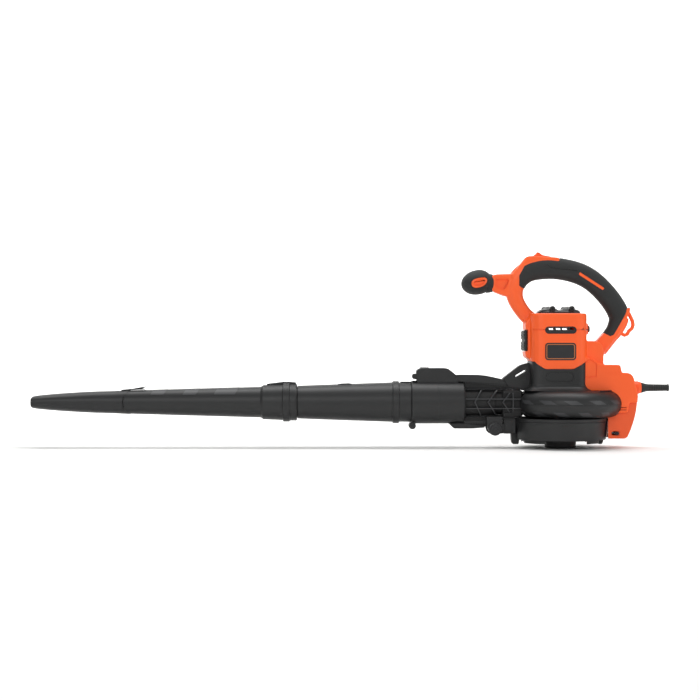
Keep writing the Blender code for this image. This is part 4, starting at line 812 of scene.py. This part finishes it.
# Stations of the handle's centre line: x, z and half its height in the side view
HANDLE = [
    (-48, 236, 15.0),
    (-70, 256, 14.0),
    (-86, 285, 15.6),
    (-83, 313, 18.4),
    (-63, 333, 19.8),
    (-31, 340, 20.6),
    (3, 338, 20.0),
    (38.6, 328.4, 20.0),
    (67.6, 310.1, 19.6),
    (96, 279, 19.3),
    (111, 250, 19.0),
    (105.5, 226.5, 16.2),
    (92.5, 208, 14.5),
    (74, 185, 15.0),
]
# The grip's edge in the side view, beyond which the handle is bare orange
GRIP_EDGE = [(-63.6, 354.2), (-1.5, 354.2), (1.5, 375), (152, 375), (152, 279.7), (130.3, 267.3),
    (124.1, 259.2)]
GRIP_EDGE += [(113.2, 238.4), (102.6, 219.0), (99.0, 213.2), (92.6, 210.6), (81.1, 216.6), (68.4, 232.2)]
GRIP_EDGE += [(0, 279.7), (-61.0, 288.0), (-67.6, 296.0), (-79.6, 306.4), (-79.6, 325.0)]
# The grip's rear end, where the spine is wider than the grip and is cut back to it
GRIP_REAR_END = [(102.6, 219.0), (99.0, 213.2), (92.6, 210.6), (81.1, 216.6), (74, 226), (92, 242),
    (113.2, 238.4)]


def path_at(t):
    """The handle's centre line at station t: a smooth curve through HANDLE."""
    last = len(HANDLE) - 1
    i = min(int(t), last - 1)
    u = t - i
    ends = [HANDLE[max(i - 1, 0)], HANDLE[i], HANDLE[i + 1], HANDLE[min(i + 2, last)]]
    weights = ((-u + 2 * u**2 - u**3) / 2, (2 - 5 * u**2 + 3 * u**3) / 2)
    weights += ((u + 4 * u**2 - 3 * u**3) / 2, (u**3 - u**2) / 2)
    return [sum(w * end[k] for w, end in zip(weights, ends)) for k in range(3)]


def handle_sweep(start, end, grow, depth_share=0.90, step=0.125, sides=56):
    """The handle between two stations, its section a slightly squared oval."""
    sections = []
    count = int((end - start) / step)
    for i in range(count + 1):
        t = start + (end - start) * i / count
        x, z, half = path_at(t)
        before, after = path_at(max(t - 0.04, 0)), path_at(min(t + 0.04, len(HANDLE) - 1))
        along = (after[0] - before[0], after[1] - before[1])
        sections.append((ring_matrix((x, z), along, half + grow, (half + grow) * depth_share), 0.86))
    return lofted(sections, sides)


def motor_plan(inset):
    """The motor housing's rounded outline from above, drawn in by inset."""
    front, back, half_width, corner = -60.0, 46.0, 47.8, 21
    return rectangle(front + inset, back - inset, inset - half_width, half_width - inset, corner - inset)


def housing_blank():
    """The orange clamshell before its recesses: motor housing, handle frame, arm and rear body as one skin."""
    motor = pushed(motor_plan(0), 147.9, 253.6, 0, 3.6, "XY", 4)
    skirt = [(-80, 120), (80, 120), (80, 163.0), (45.0, 163.0), (16.8, 147.9), (-32.8, 147.9),
        (-60.0, 164.2), (-80, 164.2)]
    motor = worked(motor, "DIFFERENCE", pushed(skirt, -60, 60))
    front = [(-50, 250, 2), (-62, 246, 4), (-69.4, 236, 5), (-68.4, 226, 2), (-69.6, 178, 3),
        (-68.0, 171.4, 3), (-56.5, 164.6, 2), (-50, 164.6, 0)]
    front = pushed(front, -26, 26, 0, 5, steps=4)
    arm = [(-131.5, 325.0, 2), (-124, 328.2, 4), (-88.0, 329.2), (-76, 314), (-84, 290), (-101.0, 284.4, 8),
        (-126.0, 294.2, 4), (-131.5, 298.4, 2)]
    arm = pushed(arm, -13.0, 13.0, 0, 5, steps=4)
    shoulder = [(-95, 328.6), (-91.0, 329.2), (-65.4, 361.6, 3), (-54, 363.0, 6), (-10, 360.0, 3),
        (-3.0, 359.2, 2), (-3.0, 348), (-50, 340), (-84, 300)]
    shoulder = pushed(shoulder, -15.5, 15.5, 0, 4.5, steps=5)
    frame_bar = handle_sweep(0, 4.6, 0)
    back_bar = handle_sweep(10.2, 13, 0)
    spine = [(131.2, 262.0, 3), (129.9, 256.4, 3), (111.6, 217.8, 8), (93.2, 195.2, 8), (81.2, 181.4, 8),
        (79.2, 157.5), (62, 157.5)]
    spine += [(60, 196, 4), (70.0, 203.5, 8), (83, 219), (97.0, 222), (112, 242), (124, 262),
        (129.8, 266.2, 1)]
    spine = pushed(spine, -14.2, 14.2, 0, 5.5, steps=4)
    column = [(36, 201.2, 0), (62.0, 202.0, 6), (74.0, 197.0, 8), (77.6, 184.0, 8), (77.3, 150), (36, 130)]
    column = pushed(column, -31, 31, 0, 8, steps=5)
    body = [(39.8, 171.2, 3), (51.9, 169.2, 4), (63.7, 160.3, 6), (77.5, 157.0, 2), (107.3, 157.0, 3),
        (110.3, 142.1, 0)]
    body += [(124.4, 142.1, 5), (131.7, 136.2, 5), (140.6, 100.2, 4), (139.6, 85.4, 2), (124.3, 85.4, 0)]
    body += [(121.3, 66.8, 2), (105.7, 66.8, 0), (93.3, 66.8), (53.8, 91.3), (39.8, 105.1)]
    body = pushed(body, -39.6, 39.6, 0, 5.5, steps=4)
    plinth = pushed([(79.5, 150), (79.5, 157.1, 2), (107.9, 157.1, 4), (111.1, 142.3, 3), (111.1, 136),
        (79.5, 136)], -31, 31, 0, 3)
    seat = block((40, -14.5, 213.5), (51.6, 14.5, 235.0), 2.5)
    whole = merged(motor, front, arm, shoulder, frame_bar, back_bar, spine, column, body, plinth, seat)
    return softened(whole, 1.15, 7)


def groove_round(height, width, depth):
    """A level groove round the motor housing, as the space it takes away."""
    outer = pushed(rectangle(-75, 60, -60, 60), height - width / 2, height + width / 2, plane="XY")
    inner = pushed(motor_plan(depth), height - width, height + width, plane="XY")
    return worked(outer, "DIFFERENCE", inner)


def both_sides(points, depth_from, depth_to, corner=0.0):
    """An outline as a tool at both sides of the split plane, between two distances from it."""
    return merged(pushed(points, -depth_to, -depth_from, corner),
        pushed(points, depth_from, depth_to, corner))


VENT = rectangle(-35.2, 23.9, 214.9, 228.6, 6.7)
BADGE = rectangle(-35.1, 23.1, 165.4, 198.3, 6)
SLITS = [(-30.2, -17.4), (-15.4, -6.4), (-4.4, 8.2), (10.2, 20.0)]
SLIT_HEIGHT = (222.3, 226.6)


def make_housing():
    """Cuts the recesses, seams and openings into the clamshell, then splits it at the middle."""
    whole = housing_blank()
    cuts = [fan_form(-FAN_CLEARANCE), both_sides(VENT, 45.4, 60), both_sides(BADGE, 46.6, 60)]
    cuts.append(pushed(rectangle(-31.0, 20.8, *SLIT_HEIGHT, 0.4), -60, 60))
    cuts.append(block((-44, -44, SLIT_HEIGHT[0]), (38, 44, SLIT_HEIGHT[1])))
    cuts.append(block((-73.5, -27.5, 182.4), (-64.4, 27.5, 223.2), 1.5))
    cuts.append(block((49.0, -12.4, 217.4), (60, 12.4, 231.4), 1.0))
    recess = [(-123.4, 319.2, 2), (-99.6, 319.4, 3), (-98.4, 314.0, 3), (-104.4, 299.8, 4),
        (-112.0, 298.4, 4), (-123.4, 303.0, 3)]
    cuts.append(both_sides(recess, 8.9, 30))
    cuts.append(block((-58.0, -8.3, 357.6), (-16.6, 8.3, 380), 0.4))
    grip_space = handle_sweep(2.7, 12.6, 0.3)
    cuts.append(worked(grip_space, "INTERSECT", pushed(GRIP_EDGE, -60, 60)))
    cuts.append(pushed(GRIP_REAR_END, -60, 60))
    for number in range(1, 6):
        screw = f"housing_screw_{number}"
        cuts.append(rod(3.9, cad(screw)[1].y - 2.4, 60, middle_of(screw)))
    whole = worked(whole, "DIFFERENCE", *cuts)
    seams = [worked(groove_round(222.6, 1.7, 2.0), "DIFFERENCE", block((-80, -80, 210), (-56.5, 80, 240)))]
    panel = [(40.0, 161.8), (50.7, 168.6), (62.7, 159.2), (62.7, 134.2), (40.0, 132.2)]
    outline_low = [(41.6, 160.3), (50.8, 166.2), (61.1, 158.1), (61.1, 136.6), (41.6, 134.9)]
    ring = worked(pushed(panel, -60, -37.8), "DIFFERENCE", pushed(outline_low, -70, -30))
    other = worked(pushed(panel, 37.8, 60), "DIFFERENCE", pushed(outline_low, 30, 70))
    seams += [ring, other]
    for y in (-39.7, 39.7):
        seams.append(block((79.0, y - 0.9, 141.4), (110.5, y + 0.9, 142.4)))
    for z in (70.9, 75.4):
        seams.append(block((104.0, -45, z + 0.8), (118.5, 45, z + 2.4), 0.3))
    whole = worked(whole, "DIFFERENCE", *seams)
    halves(whole, 0.16, "housing_shell", orange_abs, "orange_plastic", "housing")


def make_grip():
    """The soft grip in two halves, its long shallow groove and the orange stripe let into it."""
    grip = handle_sweep(2.75, 12.5, 0.55)
    grip = worked(grip, "INTERSECT", pushed(GRIP_EDGE, -60, 60, 0.8))
    bore = handle_sweep(2.6, 12.7, -5.0, step=0.25, sides=32)
    grip = worked(grip, "DIFFERENCE", bore)
    lines = [(-24.9, 347.0), (-19.5, 341.4, 2), (-14.5, 340.0, 3), (31.9, 334.9), (31.6, 333.3),
        (-15.0, 338.3, 3), (-21.0, 340.2, 2)]
    stripe = [(34.6, 331.4), (80.8, 301.6), (79.0, 298.6), (77.2, 298.0), (33.0, 326.6), (32.6, 328.6)]
    hollow = handle_sweep(5, 10.5, -0.9)
    tools = merged(pushed(lines + [(-26.2, 346.0)], -60, 60), pushed(stripe, -60, 60, 1.4))
    tools = worked(tools, "DIFFERENCE", hollow)
    grip = worked(grip, "DIFFERENCE", tools, block((-62, -12.6, 345), (-6, 12.6, 380)))
    halves(grip, 0.2, "grip_shell", soft_grip, "soft_grip", "grip")
    bar = worked(handle_sweep(6.5, 9.5, 0.5), "INTERSECT", pushed(stripe, -60, 60, 1.2))
    bar = worked(bar, "DIFFERENCE", handle_sweep(6.2, 9.8, -1.2))
    piece("grip_stripe", bar, orange_abs, even=False)


def make_slider():
    """The thumb slider on top of the handle, with a stepped thumb rib."""
    low, high = cad("power_slider")
    side = [(low.x + 0.4, 358.2), (low.x + 0.4, 364.2, 1.5), (low.x + 5.0, 366.8, 2),
        (low.x + 7.0, 370.2, 1.2)]
    side += [(low.x + 11.0, 369.4, 1.5), (low.x + 17.0, 364.6, 2), (high.x - 6, 362.6, 3),
        (high.x - 0.4, 361.6, 1), (high.x - 0.4, 358.2)]
    slider = pushed(side, -7.8, 7.8, 0, 1.1)
    teeth = [block((low.x + 9.0 + 3.0 * i, -9, 366.6 - 1.2 * i),
        (low.x + 9.8 + 3.0 * i, 9, 375)) for i in range(3)]
    slider = worked(slider, "DIFFERENCE", merged(*teeth))
    piece("thumb_slider", slider, orange_abs, "power_slider", replaces=["power_slider"])


# ---- knob, inlays, pads and rear pieces -----------------------------------------------------------------


def make_knob():
    """The front hand knob: an egg of soft rubber with a framed orange inlay on each side."""
    x, z = middle_of("front_knob")
    knob = bmesh.new()
    bmesh.ops.create_uvsphere(knob, u_segments=64, v_segments=40, radius=1.0)
    bmesh.ops.transform(knob, matrix=Matrix.Rotation(TAU / 4, 4, "Y"), verts=knob.verts)
    for vert in knob.verts:
        vert.co.x = math.copysign(abs(vert.co.x) ** 0.92, vert.co.x)
        vert.co.z *= 1.0 + 0.06 * vert.co.x
    shape = Matrix.Translation((x, 0, z)) @ Matrix.Rotation(-math.radians(12), 4, "Y")
    bmesh.ops.transform(knob, matrix=shape @ Matrix.Diagonal((29.8, 23.2, 23.4, 1)), verts=knob.verts)
    knob = cleaned(knob)
    collar = [(ring_matrix((x, 311.2), (1, -0.04), half, half - 2.4), 0.9) for x,
        half in ((-140, 18.6), (-134, 18.0), (-128.6, 16.8), (-127.4, 15.6))]
    collar = lofted(collar)
    inlay = [(-171.6, 309.8, 4), (-169.5, 316.5, 4), (-158, 321.6, 6), (-140.6, 322.6, 5),
        (-138.2, 316.0, 5), (-144.5, 306.0, 5), (-157.5, 300.8, 6), (-168.5, 302.0, 5)]
    knob = worked(knob, "UNION", collar)
    knob = worked(knob, "DIFFERENCE", both_sides(inlay, 17.6, 40))
    piece("hand_knob", knob, soft_grip, replaces=["front_knob"], even=False)
    dome = bmesh.new()
    bmesh.ops.create_uvsphere(dome, u_segments=64, v_segments=40, radius=1.0)
    bmesh.ops.transform(dome, matrix=shape @ Matrix.Diagonal((29.4, 22.8, 23.0, 1)), verts=dome.verts)
    shrunk = [((x + 155.0) * 0.95 - 155.0, (z - 311.5) * 0.93 + 311.5, r) for x, z, r in inlay]
    pocket = [((x + 155.0) * 0.70 - 155.0, (z - 311.5) * 0.58 + 311.5, r * 0.6) for x, z, r in inlay]
    for side, node in ((-1, "knob_inlay_left"), (1, "knob_inlay_right")):
        low_y, high_y = sorted((side * 16.4, side * 40))
        inset = worked(copied(dome), "INTERSECT", pushed(shrunk, low_y, high_y))
        pocket_low, pocket_high = sorted((side * 18.0, side * 40))
        inset = worked(inset, "DIFFERENCE", pushed(pocket, pocket_low, pocket_high))
        piece(node + "_cap", inset, orange_abs, replaces=[node], even=False)
    dome.free()


def make_vents_and_badges():
    """Gloss inserts round the cooling slits, and the blank badge plates with a copper-coloured line."""
    for side, name in ((-1, "left"), (1, "right")):
        low, high = sorted((side * 45.7, side * 48.1))
        insert = pushed(rectangle(-34.9, 23.6, 215.2, 228.3, 6.4), low, high, 0, 0.5)
        bottom, top = SLIT_HEIGHT
        holes = [pushed([(a + 1.0, bottom), (b, bottom), (b - 1.0, top), (a, top)], low - 2, high + 2,
            0.5) for a, b in SLITS]
        piece(f"cooling_vent_{name}", worked(insert, "DIFFERENCE", merged(*holes)), black_gloss,
            replaces=[f"side_vent_{name}"])
        low, high = sorted((side * 46.9, side * 48.3))
        plate = pushed(rectangle(-34.8, 22.8, 165.7, 198.0, 5.7), low, high, 0, 0.5)
        piece(f"blank_badge_{name}", plate, black_gloss, replaces=[f"badge_plate_{name}"])
        low, high = sorted((side * 48.0, side * 48.55))
        line = pushed(rectangle(-32.6, 20.6, 167.9, 195.8, 4.2), low, high)
        line = worked(line, "DIFFERENCE",
            pushed(rectangle(-31.2, 19.2, 169.3, 194.4, 3.0), low - 3, high + 3))
        piece(f"badge_line_{name}", line, copper_foil)
        low, high = sorted((side * 47.9, side * 48.45))
        panel = pushed(rectangle(-28.8, 16.8, 171.7, 192.0, 2.2), low, high, 0, 0.2)
        piece(f"badge_panel_{name}", panel, black_gloss)


def make_pads():
    """The ribbed bumper on the front, the small insert at the back and the gloss pad on top."""
    pad = [(-66, 182.8), (-70.2, 183.4, 1.5), (-72.4, 187.0, 2), (-72.4, 198.5, 2), (-70.2, 202.0, 1),
        (-70.2, 204.4, 1)]
    pad += [(-72.4, 207.4, 2), (-72.4, 218.6, 2), (-70.2, 222.0, 1.5), (-66, 222.6)]
    shape = pushed(pad, -26.0, 26.0, 0, 2.0, steps=4)
    grooves = [block((-75, -30, z - 0.9), (-71.2, 30, z + 0.9), 0.4) for z in (189.8, 195.4, 210.2, 215.8)]
    shape = worked(shape, "DIFFERENCE", merged(*grooves))
    piece("front_bumper", shape, soft_grip, replaces=["front_bumper_pad"])
    rear = pushed([(50.0, 218.0), (53.2, 218.0, 1.5), (54.6, 220.5, 2), (54.6, 228.3, 2),
        (53.2, 230.8, 1.5), (50, 230.8)], -11.8, 11.8, 0, 1.2)
    cuts = [block((52.6, -9.4, z - 0.7), (56, 9.4, z + 0.7), 0.3) for z in (221.4, 224.4, 227.4)]
    piece("rear_insert", worked(rear, "DIFFERENCE", merged(*cuts)), black_gloss,
        replaces=["rear_vent_insert"])
    rings = [plan_ring(253.2, 40.6, 29.0, 0.5, -4.0), plan_ring(256.6, 40.6, 29.0, 0.5, -4.0),
        plan_ring(259.4, 38.2, 26.8, 0.52, -4.0)]
    rings += [plan_ring(261.6, 33.6, 22.6, 0.56, -4.0), plan_ring(262.4, 28.0, 18.0, 0.6, -4.0)]
    cap = lofted(rings, 96)
    channel = rod(7.4, -60, 60, (-4, 266.4), "Y", sides=48)
    cap = worked(cap, "DIFFERENCE", channel)
    piece("top_pad", cap, black_gloss, replaces=["top_vent_pad"], even=False)
    for number, (x0, x1) in enumerate(((-18.3, -27.2), (18.1, 9.6)), 1):
        for end, (x, side) in enumerate(((x0, -1), (x1, 1)), 1):
            head = rod(5.6, *sorted((side * 18.0, side * 29.0)), (x, 262.0), "Y", 1.4, 48)
            hole = rod(2.4, *sorted((side * 25.2, side * 31)), (x, 262.0))
            piece(f"top_bar_{number}_end_{end}", worked(head, "DIFFERENCE", hole), black_gloss)
        matrices = []
        for share in (0.0, 0.2, 0.5, 0.8, 1.0):
            x = x0 + (x1 - x0) * share
            lift = 1.2 * math.sin(math.pi * share)
            place = Matrix.Translation((x, -19.0 + 38.0 * share, 262.2 + lift)) @ Matrix.Rotation(TAU / 4,
                4, "X")
            matrices.append((place @ Matrix.Diagonal((4.6, 4.2, 1, 1)), 1.0))
        piece(f"top_bar_{number}", lofted(matrices, 40), black_gloss, even=False)


def make_rear_pieces():
    """The set-back lower cover with its latch slot, the cord hook, gland and strain-relief boot."""
    cover = [(83.0, 90.0), (78.0, 70.0), (78.0, 18.4, 1.5), (117.4, 18.4, 1.8), (121.6, 21.7, 1.8),
        (126.0, 31.0, 4)]
    cover += [(131.9, 46.2, 10), (137.2, 66.4, 8), (139.7, 84.4), (136.0, 92.0)]
    shape = pushed(cover, -33.6, 33.6, 0, 3.2, steps=4)
    slot = rectangle(91.2, 106.0, 24.4, 32.2, 3.8)
    dish = rectangle(93.0, 107.8, 22.8, 33.8, 5)
    drum = rod(91.4, 0, 57.8, (0, 0), "Z", sides=DRUM_SIDES)
    shape = worked(shape, "DIFFERENCE", fan_form(-FAN_CLEARANCE), drum, pushed(slot, -60, 60),
        both_sides(dish, 32.6, 60))
    # The lower cover's darker orange is painted shade under the shell above.
    piece("lower_rear_shell", shape, orange_abs_painted_shade, replaces=["lower_rear_cover"])
    low, high = cad("guard_latch")
    bar = pushed(rectangle(low.x + 0.2, high.x - 0.2, low.z + 0.1, high.z - 0.1, 2.8), low.y, high.y, 0,
        0.8)
    groove = [block((x - 0.5, low.y - 1, 20), (x + 0.5, low.y + 0.8, 40)) for x in (100.2, 102.6)]
    piece("guard_catch", worked(bar, "DIFFERENCE", merged(*groove)), black_gloss, "guard_latch",
        replaces=["guard_latch"])
    hook = [(127.0, 258.6), (132.0, 250.5), (137.2, 239.0), (138.2, 232.0), (136.0, 225.6), (130.2, 220.6)]
    hook += [(127.2, 214.8), (122.0, 212.6), (117.8, 215.0), (114.2, 219.4)]
    sections = []
    for i, (x, z) in enumerate(hook):
        before, after = hook[max(i - 1, 0)], hook[min(i + 1, len(hook) - 1)]
        sections.append((ring_matrix((x, z), (after[0] - before[0], after[1] - before[1]), 3.5, 4.6), 0.8))
    loop = lofted(sections, 24)
    piece("cord_hook_loop", loop, orange_abs, replaces=["cord_hook"], even=False)
    centre = (0, 0, middle_of("cord_gland")[1])
    end = cad("cord_gland")[1].x
    gland = [(136, 8.2), (136, 12.4), (end - 5, 12.4, 1), (end - 4.4, 11.4), (end - 0.4, 10.8, 1.2),
        (end - 0.4, 8.2)]
    piece("gland_ring", turned(gland, centre, "X"), orange_abs,
        replaces=["cord_gland"])
    tip = cad("strain_relief_boot")[1].x
    boot = [(end - 14, 3.3), (end - 14, 7.8), (end - 0.2, 7.9), (end + 0.2, 10.2, 1), (end + 3.5, 9.4, 3),
        (end + 8.5, 7.4, 6)]
    boot += [(end + 14, 6.8, 8), (tip - 2.4, 6.2), (tip - 2.2, 7.2, 0.6), (tip - 0.2, 7.2, 0.6),
        (tip - 0.2, 3.3)]
    shape = turned(boot, centre, "X", sides=64)
    rings = []
    for i in range(7):
        start = end + 17 + 4.4 * i
        rings.append(turned([(start, 5.6), (start, 12), (start + 1.1, 12), (start + 1.1, 5.6)], centre, "X",
            sides=64))
    halves = block((end, -1.2, 90), (tip, 1.2, 140))
    rings = [worked(ring, "DIFFERENCE", copied(halves)) for ring in rings]
    halves.free()
    piece("strain_relief", worked(shape, "DIFFERENCE", *rings), soft_grip,
        replaces=["strain_relief_boot"])


def make_screws():
    """Recessed pan-head screws in the right shell, with a cross in each head."""
    for number in range(1, 6):
        low, high = cad(f"housing_screw_{number}")
        x, z = middle_of(f"housing_screw_{number}")
        radius = (high.x - low.x) / 2
        shape = [(low.y, 0, 0), (low.y, 1.6, 0.4), (high.y - 2.2, 1.6, 0), (high.y - 2.2, radius, 0),
            (high.y, radius * 0.9, 0.9), (high.y, 0, 0)]
        screw = turned(shape, (x, 0, z), "Y", sides=40)
        cross = [block((x - 0.45, high.y - 1.0, z - 2.1), (x + 0.45, high.y + 1, z + 2.1))]
        cross.append(block((x - 2.1, high.y - 1.0, z - 0.45), (x + 2.1, high.y + 1, z + 0.45)))
        screw = worked(screw, "DIFFERENCE", *cross)
        piece(f"pan_screw_{number}", screw, plated_steel,
            replaces=[f"housing_screw_{number}"])


# ---- CAD nodes that keep their shape ---------------------------------------------------------------------

KEPT = {
    "rotor_shaft": ground_steel,
    "armature": enamelled_wire,
    "commutator": bare_copper,
    "impeller": black_polypropylene,
    "impeller_nut": plated_steel,
    "field_core": laminated_steel,
    "field_coil_front": enamelled_wire,
    "field_coil_rear": enamelled_wire,
    "lower_bearing": ground_steel,
    "upper_bearing": ground_steel,
    "lower_plate": black_textured,
    "upper_bracket": black_textured,
    "brush_holder_left": plated_steel,
    "brush_holder_right": plated_steel,
    "carbon_brush_left": carbon_block,
    "carbon_brush_right": carbon_block,
    "cord_clamp": black_textured,
    "capacitor": black_gloss,
    "switch_module": black_textured,
    "release_spring": plated_steel,
}


def dress_kept_nodes():
    """Gives each CAD node that keeps its shape its own finish."""
    for name, look in KEPT.items():
        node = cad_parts[name]
        node.data.materials.clear()
        node.data.materials.append(look)


# ---- stage, light and camera -------------------------------------------------------------------------------


# Metres from here on. The floor lies a hair under the object, so that the two don't flicker where they touch.
FLOOR = -0.0006
STAGE_WIDTH = 18
# The camera looks level along +Y at the left side, from the middle of the object's length and height.
CAMERA_PLACE = (-0.399, -2.75, 0.1847)
CAMERA_LENS = 74.5
AMBIENT = 0.42


def make_stage():
    """A pale floor that curves up into a pale backdrop behind the object."""
    stage = bmesh.new()
    outline = ((-9.0, FLOOR), (6.0, FLOOR), (6.0, 9.0))
    side = [stage.verts.new((0, y, z)) for y, z in outline]
    for pair in zip(side, side[1:]):
        stage.edges.new(pair)
    rounded(stage, [side[1]], 2.5, 24, "VERTICES")
    bmesh.ops.translate(stage, verts=stage.verts, vec=(-0.4 - STAGE_WIDTH / 2, 0, 0))
    grown = bmesh.ops.extrude_edge_only(stage, edges=stage.edges[:])
    moved = [v for v in grown["geom"] if isinstance(v, bmesh.types.BMVert)]
    bmesh.ops.translate(stage, verts=moved, vec=(STAGE_WIDTH, 0, 0))
    bmesh.ops.recalc_face_normals(stage, faces=stage.faces)
    mesh = bpy.data.meshes.new("stage")
    stage.to_mesh(mesh)
    stage.free()
    mesh.shade_smooth()
    mesh.materials.append(finish("matt_white_paper", "#F7F7F6", 0.85, 4.0, 0.02, 0.005, 0.03))
    floor = bpy.data.objects.new("stage", mesh)
    bpy.context.scene.collection.objects.link(floor)


def light(name, place, target, width, height, power, tint="#FFFFFF"):
    """A soft rectangular light aimed at a point, in metres and watts."""
    lamp = bpy.data.lights.new(name, "AREA")
    lamp.shape = "RECTANGLE"
    lamp.size, lamp.size_y = width, height
    lamp.energy = power
    lamp.color = colour(tint)[:3]
    obj = bpy.data.objects.new(name, lamp)
    bpy.context.scene.collection.objects.link(obj)
    obj.location = place
    obj.rotation_euler = (Vector(target) - Vector(place)).to_track_quat("-Z", "Y").to_euler()


def make_lights_and_camera():
    """Soft boxes above, in front and to the right, a wash on the backdrop, and the camera."""
    light("overhead_softbox", (-0.3, 0.2, 2.4), (-0.4, 0, 0.1), 3.0, 0.9, 46)
    light("front_softbox", (-1.2, -3.2, 1.5), (-0.4, 0, 0.15), 2.2, 0.8, 26)
    light("right_fill", (2.2, -1.6, 0.9), (0, 0, 0.2), 1.2, 1.4, 12)
    light("backdrop_wash", (-0.4, 2.2, 3.6), (-0.4, 6.0, 1.2), 6.0, 2.0, 330)
    bpy.context.scene.view_settings.view_transform = "Standard"
    world = bpy.data.worlds.new("studio_air")
    world.use_nodes = True
    air = world.node_tree.nodes["Background"]
    air.inputs["Color"].default_value = colour("#FFFFFF")
    air.inputs["Strength"].default_value = AMBIENT
    bpy.context.scene.world = world
    camera = bpy.data.cameras.new("camera")
    camera.lens = CAMERA_LENS
    camera.sensor_width = 36.0
    camera.clip_end = 100
    eye = bpy.data.objects.new("camera", camera)
    bpy.context.scene.collection.objects.link(eye)
    eye.location = CAMERA_PLACE
    eye.rotation_euler = (TAU / 4, 0, 0)
    bpy.context.scene.camera = eye


make_stage()
make_lights_and_camera()
make_rear_tube()
make_front_tube()
make_nozzle()
make_socket()
make_latch()
make_neck()
make_neck_cover()
make_fan_housing()
make_motor_base()
make_guard()
make_hinge()
make_housing()
make_grip()
make_slider()
make_knob()
make_vents_and_badges()
make_pads()
make_rear_pieces()
make_screws()
dress_kept_nodes()
